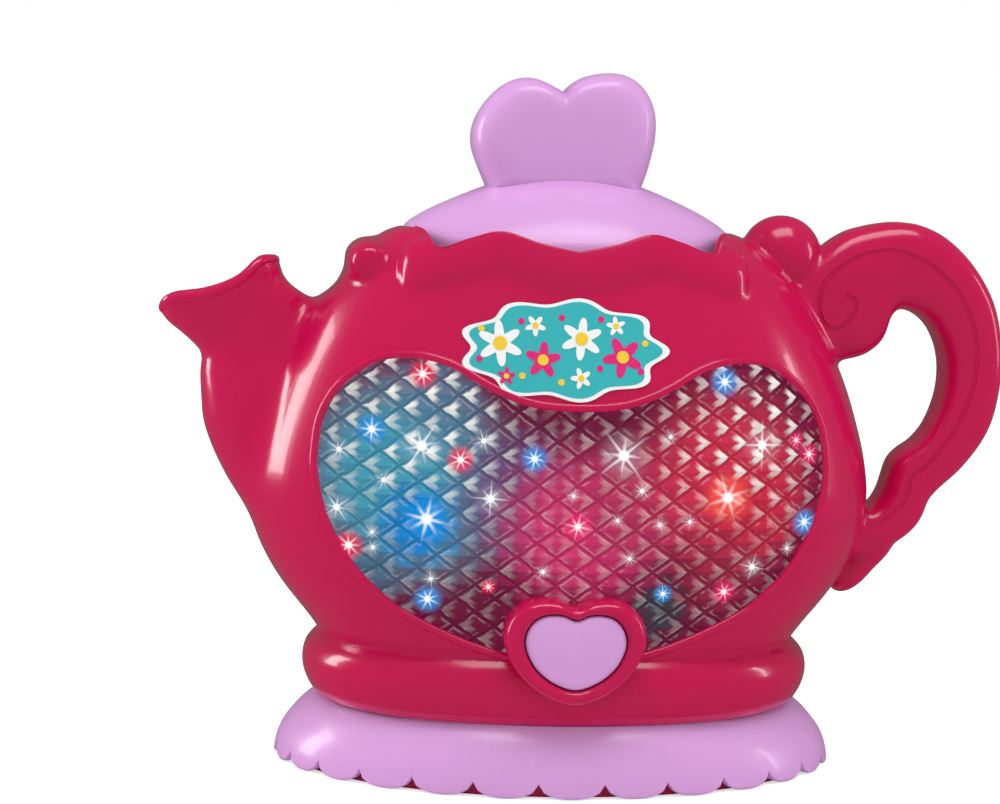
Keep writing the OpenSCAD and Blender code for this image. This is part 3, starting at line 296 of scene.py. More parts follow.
def add(kind, inputs=(), output=0, **settings):
    """Adds a node and gives one of its outputs.

    The inputs are a row, or go by name. Each is a value, a colour code or a socket to link to.
    """
    made = tree.nodes.new("ShaderNode" + kind)
    for key, value in settings.items():
        setattr(made, key, value)
    for key, value in inputs.items() if isinstance(inputs, dict) else enumerate(inputs):
        if isinstance(value, bpy.types.NodeSocket):
            tree.links.new(value, made.inputs[key])
        else:
            made.inputs[key].default_value = linear(value) if isinstance(value, str) else value
    return made.outputs[output] if made.outputs else None


def plastic(name, main, second, roughness, grain_mm, bump_mm, coat=0.0, sheen=0.0, metallic=0.0):
    """A moulded or cast surface: two close colours, a fine bump and a roughness that wanders."""
    material = begin(bpy.data.materials.new(name))
    place = add("TexCoord", output="Object")
    drift = add("TexNoise", {"Vector": place, "Scale": 1 / (22 * MM), "Detail": 3.0})
    grain = add("TexNoise", {"Vector": place, "Scale": 1 / (grain_mm * MM), "Detail": 2.0})
    bump = add("Bump", {"Height": grain, "Strength": 0.6, "Distance": bump_mm * MM})
    colour = add("Mix", {"Factor": drift, "A": main, "B": second}, "Result", data_type="RGBA")
    rough = add("MapRange", (drift, 0.1, 0.9, roughness * 0.85, roughness * 1.2))
    shader = add("BsdfPrincipled", {
        "Base Color": colour, "Normal": bump, "Metallic": metallic, "Roughness": rough,
        "Coat Weight": coat, "Coat Roughness": 0.04, "Sheen Weight": sheen})
    add("OutputMaterial", {"Surface": shader})
    return material


# %% Plastics, metals and the rest
finishes = {
    "crimson_gloss": plastic("crimson_abs", "#cb0850", "#c1064a", 0.2, 2.5, 0.004, coat=0.3),
    "lilac_gloss": plastic("lilac_abs", "#dca3df", "#d79edb", 0.28, 2.5, 0.003, coat=0.15),
    "white_plastic": plastic("white_abs", "#eeedf0", "#e4e2e7", 0.35, 1.2, 0.006),
    "dark_plastic": plastic("black_abs", "#2c2c30", "#232327", 0.4, 0.8, 0.01),
    "board_green": plastic("glass_fibre_board", "#2f7d4f", "#25693f", 0.35, 0.9, 0.012),
    "led_clear": plastic("clear_epoxy", "#eef6ff", "#dfeaf6", 0.12, 1.5, 0.003),
    "seal_rubber": plastic("moulded_rubber", "#262628", "#1d1d1f", 0.75, 0.5, 0.015),
    "wick_cotton": plastic("spun_cotton", "#f6f4ec", "#e7e3d6", 0.9, 0.35, 0.05, sheen=0.4),
    "tank_pink": plastic("pink_polypropylene", "#f0c4e2", "#ecb9dc", 0.3, 1.4, 0.006),
    "steel": plastic("zinc_plated_steel", "#b9bdc3", "#a9adb4", 0.3, 0.5, 0.004, metallic=1.0),
    "cell_jacket": plastic("printed_film", "#4a6fa8", "#3f6299", 0.25, 1.2, 0.003)}
finishes["clear_lens"] = finishes["led_clear"]
finishes["badge_print"] = finishes["white_plastic"]
for part in frame["record"]["subparts"]:
    mesh = cad[part["node"]].data
    mesh.materials.clear()
    mesh.materials.append(finishes[part["material_slot"]])
print("finishes:", len(finishes))

# %% [markdown]
# ## The body as sections
#
# The belly, the foot ring, the spout and the handle are four plump forms that flow into each other.
# Each is a row of sections whose sizes are shares of a few main sizes, as in the solid model.

# %% Main sizes and sections
belly_w, belly_d, rim_z, waist_z, saucer_h = 162.6, 102.0, 138.5, 30.5, 16.5
ring_w, ring_d, wall = 133.0, 94.0, 2.2
wave_h, dome_w, dome_d = 5.4, 84.6, 66.4
half_belly = belly_w / 2
belly_power = 2.25

ring_shares = [
    (0, 0.932, 0.93), (0.14, 0.978, 0.976), (0.42, 1, 1), (0.68, 0.986, 0.985), (0.89, 0.942, 0.94),
    (1, 0.9, 0.9)]
belly_shares = [
    (0, 0.744, 0.84), (0.06, 0.8, 0.882), (0.134, 0.879, 0.929), (0.199, 0.935, 0.967),
    (0.273, 0.978, 0.992), (0.366, 1, 1), (0.458, 0.988, 0.992), (0.551, 0.957, 0.967),
    (0.644, 0.916, 0.922), (0.736, 0.861, 0.863), (0.829, 0.787, 0.804), (0.921, 0.689, 0.751),
    (0.977, 0.595, 0.725), (1, 0.554, 0.716)]
roll_shares = [
    (0, 0.932, 0.93), (0.15, 0.966, 0.965), (0.4, 0.992, 0.992), (0.65, 1, 1), (0.88, 0.99, 0.99),
    (1.05, 0.963, 0.963), (1.18, 0.925, 0.925), (1.26, 0.88, 0.88), (1.3, 0.8, 0.8)]


def ring_sections(shares):
    return spline([(0, saucer_h + s[0] * (waist_z - saucer_h), s[1] * ring_w / 2, s[2] * ring_d / 2, 0)
                   for s in shares], 5)


ring_rows = ring_sections(ring_shares)
belly_rows = spline([(0, waist_z + s[0] * (rim_z - waist_z), s[1] * half_belly, s[2] * belly_d / 2, 0)
                     for s in belly_shares], 6)
body_rows = ring_rows + belly_rows
belly_table = [(r[1], r[2], r[3]) for r in belly_rows]


def front_y(x, z, inset=0.0):
    """How far the belly's surface lies in front of the middle at a place in front view."""
    w = between(belly_table, z, 1) - inset
    d = between(belly_table, z, 2) - inset
    return d * max(0.0, 1 - min(abs(x) / w, 1) ** belly_power) ** (1 / belly_power)


def on_front(x, z, lift=0.0, side=-1):
    """Place on the belly's front, lifted from it along the surface's normal."""
    step = 0.5
    y = front_y(x, z)
    slope_x = (front_y(x + step, z) - front_y(x - step, z)) / (2 * step)
    slope_z = (front_y(x, z + step) - front_y(x, z - step)) / (2 * step)
    normal = Vector((-slope_x, 1, -slope_z)).normalized()
    place = Vector((x, y, z)) + lift * normal
    return Vector((place.x, side * place.y, place.z))


spout_reach, spout_rise, spout_z, spout_l, spout_t = 24.0, 66.4, 58.0, 47.0, 44.0
spout_shares = [
    (-0.97, 0.06, 0.81, 1, 0), (-0.8, 0.18, 0.94, 0.96, 3), (-0.64, 0.33, 1, 0.89, 6),
    (-0.47, 0.48, 0.98, 0.8, 9), (-0.3, 0.595, 0.85, 0.7, 12), (-0.18, 0.685, 0.745, 0.6, 14),
    (-0.1, 0.774, 0.672, 0.545, 18), (0.04, 0.851, 0.698, 0.52, 21.3), (0.25, 0.913, 0.698, 0.54, 21),
    (0.346, 0.973, 0.71, 0.56, 21.3), (0.45, 1.04, 0.72, 0.575, 22), (0.56, 1.12, 0.73, 0.59, 22.5)]
spout_rows = spline([(-half_belly - s[0] * spout_reach, spout_z + s[1] * spout_rise, s[2] * spout_l / 2,
                      s[3] * spout_t / 2, radians(s[4])) for s in spout_shares], 5)
print("sections:", len(body_rows) + len(spout_rows))

# %% [markdown]
# ## The handle
#
# The handle is a flat strap with rounded edges that curls into the body at the top, like a scroll. Its
# outer and inner edges are two curves in side view, and each section spans them at one place.

# %% Handle sections
handle_t = 20.0
handle_edges = [
    (60, 128, 60, 106), (68.4, 135.6, 69, 105), (73.9, 139.4, 75.5, 105.9), (79, 141.1, 80.5, 107.5),
    (84, 142.1, 84.3, 111), (88.5, 142.4, 85.9, 116.3), (94.2, 141.6, 88.5, 119.2),
    (100.5, 138.7, 93, 118.7), (107, 133, 97.3, 115.5), (112.2, 125.7, 100.1, 110.6),
    (115.2, 118.3, 101.4, 105.3), (116.9, 108.2, 101.4, 99.5), (116.6, 99.9, 100.2, 94),
    (115, 91.1, 97.8, 88.5), (111.9, 84.3, 94.6, 84.6), (106.6, 77.2, 91, 82.1), (101.3, 72.3, 88.6, 79.4),
    (98.4, 69, 87.4, 75.6), (97.2, 65.5, 86.4, 72.1), (95.2, 62, 85.2, 69.6), (91.5, 58.6, 83.5, 67.4),
    (86.5, 55.8, 80.5, 66.2), (80, 54, 75, 65), (72, 53, 69, 64)]
handle_power = 3.2
handle_rows = []
for outer_x, outer_z, inner_x, inner_z in spline(handle_edges, 4):
    across = Vector((outer_x - inner_x, outer_z - inner_z))
    handle_rows.append(((outer_x + inner_x) / 2, (outer_z + inner_z) / 2, across.length / 2,
                        handle_t / 2, atan2(across.y, across.x)))
leaf_rows = spline([
    (90, 60, 3.4, 7, 0.9), (86.5, 57, 5.2, 7.5, 0.5), (82.5, 53.5, 6.6, 7.5, 0.2), (79.6, 50, 5.6, 7, 0.1),
    (77.8, 46.6, 4.4, 6, 0.1), (77, 44.4, 2.4, 3.5, 0.1), (76.8, 43.7, 0.5, 0.8, 0.1)], 3)

# %% [markdown]
# ## Rim, band, roll and ball
#
# A wavy rim holds the lid, with a rounded band below it, front and rear. A ball closes the band at the
# handle, and a short roll lies across the rim at the spout.

# %% Rim and band
wave_shares = [
    (0, -1.07), (0.22, -0.72), (0.437, -0.22), (0.62, -0.55), (0.81, -1), (0.91, -0.13), (1.12, 0)]
band_shares = [(0, -1.95), (0.22, -1.65), (0.437, -1.1), (0.62, -1.42), (0.81, -1.82), (1.02, -2.28)]


def rim_curve(shares, steps):
    points = [(s[0] * dome_w / 2, rim_z + s[1] * wave_h) for s in shares]
    half = [(p[0], p[1]) for p in spline(points, steps)]
    return [(-p[0], p[1]) for p in reversed(half[1:])] + half


wave_line = rim_curve(wave_shares, 8)
band_line = rim_curve(band_shares, 6)
band_half, band_sink, band_lift = (7.2, 3.8), 1.3, 2.0
band_ends = [0.45, 0.8, 0.95]


def band_rings(side):
    """Sections of the band: ovals that stand across its path, flat on the belly."""
    path = [on_front(x, z + band_lift, -band_sink, side) for x, z in band_line]
    rings = []
    for i, place in enumerate(path):
        along = (path[min(i + 1, len(path) - 1)] - path[max(i - 1, 0)]).normalized()
        out = (on_front(*band_line[i], 1, side) - on_front(*band_line[i], 0, side)).normalized()
        across = along.cross(out)
        from_end = min(i, len(path) - 1 - i)
        size = band_ends[from_end] if from_end < len(band_ends) else 1
        rings.append([place + size * (across * band_half[0] * cos(t) + out * band_half[1] * sin(t))
                      for t in turns(48)])
    return rings


def roll_rings(half_y, radius, x, z):
    """Sections of a short roll across the rim, with rounded ends."""
    rings = []
    for k in range(25):
        turn = pi * k / 24 - pi / 2
        y = half_y * abs(sin(turn)) ** 0.7 * (1 if turn > 0 else -1)
        r = max(radius * max(cos(turn), 0) ** 0.45, 0.02)
        rings.append([Vector((x + r * cos(t), y, z + r * sin(t))) for t in turns(40)])
    return rings


# %% Outer form of the shells
forms = []
skin = bmesh.new()


def form(blend, shape, topped=False):
    """Adds rings or a built shape; blend says how widely it flows into the forms before it."""
    bm = bmesh.new()
    if callable(shape):
        shape(bm)
    else:
        loft(bm, shape)
    bmesh.ops.recalc_face_normals(bm, faces=bm.faces)
    spread = [[v.co[i] for v in bm.verts] for i in range(3)]
    low = Vector([min(values) - blend - 1 for values in spread])
    high = Vector([max(values) + blend + 1 for values in spread])
    forms.append((BVHTree.FromBMesh(bm), low, high, blend, topped))
    mesh = bpy.data.meshes.new("form")
    bm.to_mesh(mesh)
    bm.free()
    skin.from_mesh(mesh)
    bpy.data.meshes.remove(mesh)
    return forms[-1][0]


above = belly_rows[-1] + Vector((0, 4, -2.2, -1.0, 0))
below = belly_rows[0] + Vector((0, -4, -3.2, -2.4, 0))
form(8, ovals([below] + belly_rows + [above], 160, belly_power), topped=True)
form(0.8, ovals(ring_sections(roll_shares), 160, belly_power))
spout_form = form(4.5, ovals(spout_rows, 96, 2.5))
form(3.0, ovals(handle_rows, 64, handle_power))
form(3.0, ovals(leaf_rows, 48, 2.4))
for side in (-1, 1):
    form(2.2, band_rings(side))
ball_place, ball_r = (57.4, 0, 132.8), 10.6
form(1.6, lambda bm: bmesh.ops.create_uvsphere(bm, u_segments=96, v_segments=48, radius=ball_r,
                                               matrix=Matrix.Translation(ball_place)))
form(2.0, roll_rings(24.5, 6.2, -51.2, 129.2))
bmesh.ops.recalc_face_normals(skin, faces=skin.faces)
body_form = solid("body_form", skin)
print("forms:", len(forms))

# %% [markdown]
# The forms are joined as a sculptor would smooth clay over them. A voxel remesh makes one skin, and each
# point then moves onto the nearest form. Where two forms are near it follows a soft mean of their
# distances, which is a fillet. The valley behind the spout is a round hollow. Where the handle curls
# tightly its sections cross, so there the smoothed skin is kept.

# %% One skin with fillets
valley_x, valley_z, valley_r, valley_soft = -65.2, 127.9, 7.2, 2.6
top_z, top_soft = 138.4, 2.4


def soft_least(value, way, other, other_way, blend):
    """Lesser of two distances with a rounded corner, and its way outwards."""
    share = min(max(0.5 + 0.5 * (other - value) / blend, 0), 1)
    return (other + (value - other) * share - blend * share * (1 - share), other_way.lerp(way, share))


def soft_most(value, way, other, other_way, blend):
    less, turned = soft_least(-value, -way, -other, -other_way, blend)
    return -less, -turned


def distance(place):
    """Distance from the blended surface, below zero inside it, and the way outwards."""
    value, way = 1000.0, Vector((0, 0, 1))
    for tree, low, high, blend, topped in forms:
        if all(low[i] < place[i] < high[i] for i in range(3)):
            near, normal, _, gap = tree.find_nearest(place)
            off = place - near
            sign = -1 if off.dot(normal) < 0 else 1
            out = sign * off.normalized() if gap > 0.001 else normal
            gap = sign * gap
            if topped:
                gap, out = soft_most(gap, out, place.z - top_z, Vector((0, 0, 1)), top_soft)
            value, way = soft_least(value, way, gap, out, blend)
    radial = Vector((place.x - valley_x, 0, place.z - valley_z))
    return soft_most(value, way, valley_r - radial.length, -radial.normalized(), valley_soft)


remesh = body_form.modifiers.new("one_skin", "REMESH")
remesh.mode = "VOXEL"
remesh.voxel_size = 0.85 * MM
soften = body_form.modifiers.new("fillets", "SMOOTH")
soften.factor = 0.5
soften.iterations = 10
settled(body_form)
curl_x, curl_z, curl_fade = 74.0, 82.0, 6.0
for vert in body_form.data.vertices:
    here = vert.co / MM
    curled = min(max((here.x - curl_x) / curl_fade, 0), 1) * min(max((curl_z - here.z) / curl_fade, 0), 1)
    start = here.copy()
    for _ in range(4):
        value, way = distance(here)
        here = here - value * way.normalized()
        if abs(value) < 0.004:
            break
    vert.co = here.lerp(start, curled) * MM
print("body form:", len(body_form.data.polygons), "faces")

# %% [markdown]
# ## Openings
#
# The hollow, the window, the wave of the rim and the pour lip are cut from the form with exact tools.

# %% Openings
window_w, window_h, window_z = 127.6, 74.0, 33.0
window_shares = [
    (0, 0), (0.2, 0.005), (0.408, 0.054), (0.635, 0.142), (0.745, 0.209), (0.846, 0.297), (0.928, 0.405),
    (0.977, 0.514), (0.997, 0.601), (1, 0.655), (0.984, 0.77), (0.933, 0.865), (0.854, 0.936),
    (0.76, 0.986), (0.655, 1), (0.564, 0.993), (0.47, 0.967), (0.368, 0.917), (0.266, 0.876),
    (0.152, 0.849), (0, 0.841)]
window_line = mirrored([(s[0] * window_w / 2, window_z + s[1] * window_h) for s in window_shares], 6)


def grown(outline, distance):
    """Outline that runs anticlockwise, moved outwards."""
    count = len(outline)
    out = []
    for i, p in enumerate(outline):
        along = outline[(i + 1) % count] - outline[i - 1]
        out.append(p + distance * Vector((along.y, -along.x)).normalized())
    return out


lip_line = spline([
    (-112, 108), (-108.5, 111.5), (-106.3, 114.4), (-105.2, 116.8), (-104.2, 118.3), (-102.4, 119.3),
    (-99.5, 119.9), (-96, 120.4), (-91.5, 121.5), (-86.8, 123.4), (-83.3, 125.7), (-81, 127.9),
    (-79.3, 129.6), (-77.6, 130.4), (-75.6, 130.6), (-73, 131), (-70, 132)], 5)
lip_r = 1.5
pour_line = [p + lip_r * Vector((q.y - p.y, p.x - q.x)).normalized() for p, q in zip(lip_line, lip_line[1:])]
inner_body = ovals(body_rows, 96, belly_power, wall)
lower = [p - Vector((0, 0, 2)) for p in inner_body[0]]
upper = [p + Vector((0, 0, 6)) for p in inner_body[-1]]
inner_spout = ovals(spout_rows[:-2], 48, 2, wall)
mouth = [p + Vector((-3.5, 0, 10)) for p in oval(spout_rows[-1], 48, 2, wall)]
end_x = wave_line[-1][0]
wave_outline = [(-end_x, rim_z + 14)] + wave_line + [(end_x, rim_z + 14)]
carve(body_form, [
    lofted("hollow", [lower] + inner_body + [upper]), lofted("spout_hollow", inner_spout + [mouth]),
    block("window_cut", window_line, -70, -20), block("wave_cut", wave_outline, -60, 60),
    block("lip_cut", [(-70, 160), (-115, 160)] + pour_line, -30, 30)])
print("shells with openings:", len(body_form.data.polygons), "faces")

# %% [markdown]
# A carved line runs round the handle on both faces, from a small spiral down to the lower curl.

# %% Carved line of the handle
scroll_line = [
    (73.1, 123.1), (75, 122.1), (75.7, 119.9), (74.1, 116.4), (71.8, 114.6), (69.7, 114.2), (67.6, 115.5),
    (66.2, 118.5), (66, 121.9), (66.9, 125.3), (69, 128.4), (72.6, 131.2), (76.9, 133.4), (80.5, 134.5),
    (84.8, 134.9), (88.6, 134.3), (92.8, 132.6), (97.2, 129.9), (101, 126.3), (104.1, 122.2),
    (106.6, 116.8), (107.9, 112.1), (108.4, 107.4), (107.6, 99.7), (105.2, 92.3), (101.4, 85.4),
    (96.6, 79.4), (91.6, 75.4)]
curl_line = [(91.8, 74.6), (91.4, 71.8), (90.2, 69), (87.6, 66.2), (84.5, 63.6)]


def handle_depth(x, z):
    """Half thickness of the handle where a place in side view lies on it."""
    best = None
    for mid_x, mid_z, half, deep, tilt in handle_rows:
        off = hypot(x - mid_x, z - mid_z)
        along = (x - mid_x) * cos(tilt) + (z - mid_z) * sin(tilt)
        miss = off * off - along * along
        if best is None or miss < best[0]:
            best = (miss, min(abs(along) / half, 0.999), deep)
    return best[2] * (1 - best[1] ** handle_power) ** (1 / handle_power)


def groove(bm, line, side):
    path = [Vector((x, side * (handle_depth(x, z) + 0.25), z)) for x, z in spline(line, 4)]
    tube(bm, path, 0.75, sides=8)


for side in (-1, 1):
    carve(body_form, [built("scroll", lambda bm: groove(bm, scroll_line, side)),
                      built("curl", lambda bm: groove(bm, curl_line, side))])

# %% [markdown]
# ## Two shells
#
# The body is two mouldings that meet at the middle. A half space keeps each one, short of the middle by
# a hair, so that the parting line shows as it does on the toy. Six screws hold them from the rear.

# %% Shells and screw wells
seam = 0.07
shell_posts = [(-80, 91.96), (-60, 44.04), (63.98, 45.98), (65.04, 110.8), (-50, 119.8), (109.29, 104.49)]
hole_r, well_r, post_r, well_seat = 1.45, 2.9, 4.9, 4.0


def wells(bm):
    for x, z in shell_posts:
        cylinder(bm, (x, well_seat + 30, z), well_r, 60, turn=Matrix.Rotation(pi / 2, 4, "X"))


def half_box(bm, side):
    bmesh.ops.create_cube(bm, size=1, matrix=Matrix.Translation((0, side * (50 + seam), 80))
                          @ Matrix.Diagonal((300, 100, 200, 1)))


rear = body_form.copy()
rear.data = body_form.data.copy()
rear.name = "rear_body"
scene.collection.objects.link(rear)
front = body_form
front.name = "front_body"
carve(front, [built("front_half", lambda bm: half_box(bm, -1))], "INTERSECT")
carve(rear, [built("rear_half", lambda bm: half_box(bm, 1))], "INTERSECT")
carve(rear, [built("wells", wells)])
shade(front)
shade(rear)
crimson(front, "front_shell")
crimson(rear, "rear_shell")

# %% [markdown]
# Behind each well stands a post with a seat for the screw's head. Its profile is spun round its axis.

# %% Posts and ledge
posts = bmesh.new()
for x, z in shell_posts:
    reach = min(front_y(x, z, wall) + 0.8, 46) if abs(x) < 80.5 else 8.2
    profile = [(hole_r, well_seat), (well_r, well_seat), (well_r, reach), (post_r, reach), (post_r, 0.2),
               (hole_r, 0.2)]
    corners = [posts.verts.new((x + r, y, z)) for r, y in profile]
    edges = [posts.edges.new((corners[i - 1], corners[i])) for i in range(len(corners))]
    bmesh.ops.spin(posts, geom=corners + edges, cent=(x, 0, z), axis=(0, 1, 0), angle=2 * pi, steps=28,
                   use_merge=True)
crimson(solid("screw_posts", posts))

ledge_z, ledge_t, hole_w, hole_d = 127.5, 2, 31.5, 22.0
ledge_w, ledge_d = [between(belly_table, ledge_z, column) - wall + 0.4 for column in (1, 2)]
rings = [oval((0, ledge_z + up, half_w, half_d, 0), 96, power) for up, half_w, half_d, power in (
    (0, ledge_w, ledge_d, belly_power), (ledge_t, ledge_w - 1, ledge_d - 1, belly_power),
    (ledge_t, hole_w, hole_d, 2.0), (0, hole_w, hole_d, 2.0))]
crimson(lofted("tank_ledge", rings + rings[:1], caps=False))

# %% [markdown]
# ## Rim of the window, lip of the rim
#
# The edges of the window, the rim and the spout are rounded beads. Each follows the cut edge of a shell.

# %% Beads
window_path = [on_front(p.x, p.y, -0.35) for p in grown(window_line, 0.55)]
crimson(built("window_bead", lambda bm: tube(bm, window_path, 1.05, 14, closed=True)))


def rim_beads(bm):
    for side in (-1, 1):
        tube(bm, [Vector((x, side * (front_y(x, z, wall) + 0.5), z - 0.1)) for x, z in wave_line
                  if abs(x) < 40.5], 0.6, 12)


crimson(built("rim_lip", rim_beads))

mouth_edge = []
for side in (-1, 1):
    half = []
    for p in pour_line:
        hit, normal, _, _ = spout_form.ray_cast(Vector((p.x, side * 60, p.y)), Vector((0, -side, 0)))
        if hit:
            half.append(hit - 1.2 * normal)
    mouth_edge += half if side < 0 else half[::-1]
spaced = mouth_edge[:1]
for place in mouth_edge[1:]:
    if (place - spaced[-1]).length > 2.4:
        spaced.append(place)
mouth_path = spline(spaced, 5, closed=True)
crimson(built("spout_lip", lambda bm: tube(bm, mouth_path, lip_r, 20, True, Vector((0, 0, 1)))))

# %% [markdown]
# ## Heart bezel and button
#
# A heart outline is scaled about its middle from ring to ring, while a rounded profile carries the rings
# forwards. The same outline makes the bezel's roll and the domed button.

# %% Heart outlines
bezel_w, bezel_h, bezel_z, button_share = 34.8, 25.8, 23.4, 0.706
heart_shares = [
    (0, 0), (0.4, 0.08), (0.74, 0.25), (0.93, 0.45), (1, 0.64), (0.93, 0.82), (0.75, 0.95), (0.5, 1),
    (0.25, 0.99), (0, 0.93)]


def heart_rings(outline, middle, half_width, profile):
    """Rings of an outline: each is moved inwards by a distance and forwards to a depth."""
    rings = []
    for inwards, y in profile:
        scale = max((half_width - inwards) / half_width, 0.004)
        rings.append([Vector((middle.x + (p.x - middle.x) * scale, y, middle.y + (p.y - middle.y) * scale))
                      for p in outline])
    return rings


heart_line = mirrored([(s[0] * bezel_w / 2, bezel_z + s[1] * bezel_h) for s in heart_shares], 8)
heart_middle = Vector((0, bezel_z + 0.53 * bezel_h))
bezel_profile = [
    (0, -40.5), (0, -50.4), (0.15, -51.6), (0.6, -52.7), (1.4, -53.5), (2.5, -53.8), (3.5, -53.6),
    (4.3, -53.1), (4.75, -52.4), (4.95, -51.4), (5, -50.2), (5, -45.2)]
button_profile = [
    (0, -49.6), (0, -52.1), (0.08, -52.5), (0.28, -52.9), (0.62, -53.2), (1.1, -53.4), (2, -53.52),
    (4, -53.64), (6.5, -53.74), (9, -53.8), (12, -53.8)]
button_line = [heart_middle + (p - heart_middle) * button_share for p in heart_line]
crimson(lofted("heart_bezel", heart_rings(heart_line, heart_middle, bezel_w / 2, bezel_profile)))
belongs(lofted("button_cap", heart_rings(button_line, heart_middle, button_share * bezel_w / 2,
                                         button_profile)), "heart_button", "lilac_gloss", "heart_button")

# %% [markdown]
# ## The lens
#
# The window is one clear moulding covered with small pyramids, which break up the light behind it. A
# flat grid is sheared into diamonds and thickened, each front face is raised to a point, and the sheet
# is bent to the belly and cut to the window.

# %% Lens
cell_w, cell_h, cell_rise, cells, field_x, field_z = 9.6, 7.1, 1.2, 44, 72, 44
lens_bm = bmesh.new()
bmesh.ops.create_grid(lens_bm, x_segments=cells, y_segments=cells, size=cells / 2)
for vert in lens_bm.verts:
    u, v = vert.co.x, vert.co.y
    vert.co = Vector(((u + v) * cell_w / 2, (v - u) * cell_h / 2, 0))
middles = [(face, face.calc_center_median()) for face in lens_bm.faces]
outer = [face for face, middle in middles if abs(middle.x) > field_x or abs(middle.y) > field_z]
bmesh.ops.delete(lens_bm, geom=outer, context="FACES")
bmesh.ops.solidify(lens_bm, geom=lens_bm.faces[:], thickness=2.0)
top = max(v.co.z for v in lens_bm.verts)
fronts = [f for f in lens_bm.faces if f.calc_center_median().z > top - 0.01 and abs(f.normal.z) > 0.9]
for point in bmesh.ops.poke(lens_bm, faces=fronts)["verts"]:
    point.co.z = top + cell_rise
lens_inset, lens_z = wall + 1.2, 69.5
for vert in lens_bm.verts:
    x, z, rise = vert.co.x, vert.co.y + lens_z, vert.co.z - top
    vert.co = Vector((x, -front_y(x, min(z, 110), lens_inset) - rise, z))
lens = solid("faceted_lens", lens_bm, sharp=0)
carve(lens, [block("window_form", grown(window_line, 1.6), -70, -5)], "INTERSECT")
lens.data.shade_flat()

# %% [markdown]
# Behind the facets LEDs of several colours shine: blue at the left, pink in the middle, red at the
# right. Their glow is painted light in the lens's own emission: soft round pools of painted colour are
# laid over a dark ground, one after another. Each facet looks a few millimetres aside, along its own
# normal, as a real prism does, so neighbours differ a little.

# %% Glow of the window
glows = [
    (-44, 77, 36, "#4095ae", 1), (-34, 97, 15, "#4d7596", 0.6), (-54, 52, 15, "#3f6d8c", 0.7),
    (-40, 66, 14, "#0b7ec8", 0.95), (-15, 74, 22, "#694478", 0.8), (1, 66, 27, "#cb3068", 0.95),
    (16, 72, 22, "#b0325c", 0.8), (39, 79, 31, "#c92c4a", 1), (46, 70, 18, "#c2243e", 0.8),
    (38, 55, 17, "#a02845", 0.6), (21.5, 44, 9.5, "#3d3944", 1)]
lens_painted_glow = begin(bpy.data.materials.new("lens_painted_led_glow"))
place = add("TexCoord", output="Object")
facet = add("TexCoord", output="Normal")
aside = add("VectorMath", (facet, (5 * MM, 0, 5 * MM)), operation="MULTIPLY")
seen = add("VectorMath", (place, aside), operation="ADD")
flat = add("VectorMath", (seen, (1, 0, 1)), operation="MULTIPLY")
# Painted LED glow: round pools of colour are mixed into the lens's emission over a dark ground.
glow = "#6c163a"
for x, z, radius, code, strength in glows:
    away = add("VectorMath", (flat, (x * MM, 0, z * MM)), "Value", operation="DISTANCE")
    share = add("MapRange", (away, 0.3 * radius * MM, radius * MM, strength, 0.0),
                interpolation_type="SMOOTHSTEP")
    glow = add("Mix", {"Factor": share, "A": glow, "B": code}, "Result", data_type="RGBA")

# %% [markdown]
# Each prism shows a painted highlight, a bright arrowhead of daylight that points away from the middle
# of the window, and painted shade makes its edges look dark, with thin painted highlights just inside
# them. All are drawn from the place within a cell: u and v run from 0 to 1 along its two sides. A little
# noise bends the lines, as the moulding's rounded edges do.

# %% Cells of the lens
along_x, along_z = [add("SeparateXYZ", (place,), axis) for axis in "XZ"]
wander = add("TexNoise", {"Vector": place, "Scale": 1 / (3 * MM), "Detail": 2.0})
bend = add("Math", (wander, -0.5), operation="ADD")
columns = add("Math", (along_x, cell_w * MM), operation="DIVIDE")
across = add("Math", (bend, 0.22, columns), operation="MULTIPLY_ADD")
height = add("Math", (along_z, lens_z * MM), operation="SUBTRACT")
upwards = add("Math", (height, cell_h * MM), operation="DIVIDE")
sides = [add("Math", (across, upwards), operation=sign) for sign in ("SUBTRACT", "ADD")]
cell_u, cell_v = [add("Math", (side,), operation="FRACT") for side in sides]
least = add("Math", (cell_u, cell_v), operation="MINIMUM")
most = add("Math", (cell_u, cell_v), operation="MAXIMUM")
far_least = add("Math", (1.0, most), operation="SUBTRACT")
far_most = add("Math", (1.0, least), operation="SUBTRACT")


def lit(*steps):
    """Share of the light that soft steps leave: each is a value, two limits and the shares at them."""
    share = 1.0
    for step in steps:
        soft = add("MapRange", step, interpolation_type="SMOOTHSTEP")
        share = add("Math", (share, soft), operation="MULTIPLY")
    return share


def arrow(near, away):
    """Painted highlight shaped as an arrowhead at one side of the cell: a band along its two edges that
    fades towards its ends.
    """
    return lit((near, 0.05, 0.13, 0, 1), (near, 0.26, 0.4, 1, 0), (away, 0.42, 0.8, 1, 0))


turn = lit((along_x, -16 * MM, 4 * MM, 0, 1))
left_share = add("Math", (1.0, turn), operation="SUBTRACT")
left_arrow = add("Math", (arrow(least, most), left_share), operation="MULTIPLY")
arrows = add("Math", (arrow(far_least, far_most), turn, left_arrow), operation="MULTIPLY_ADD")
off_middle = add("Math", (along_x, 2 * MM), operation="SUBTRACT")
sideways = add("Math", (off_middle,), operation="ABSOLUTE")
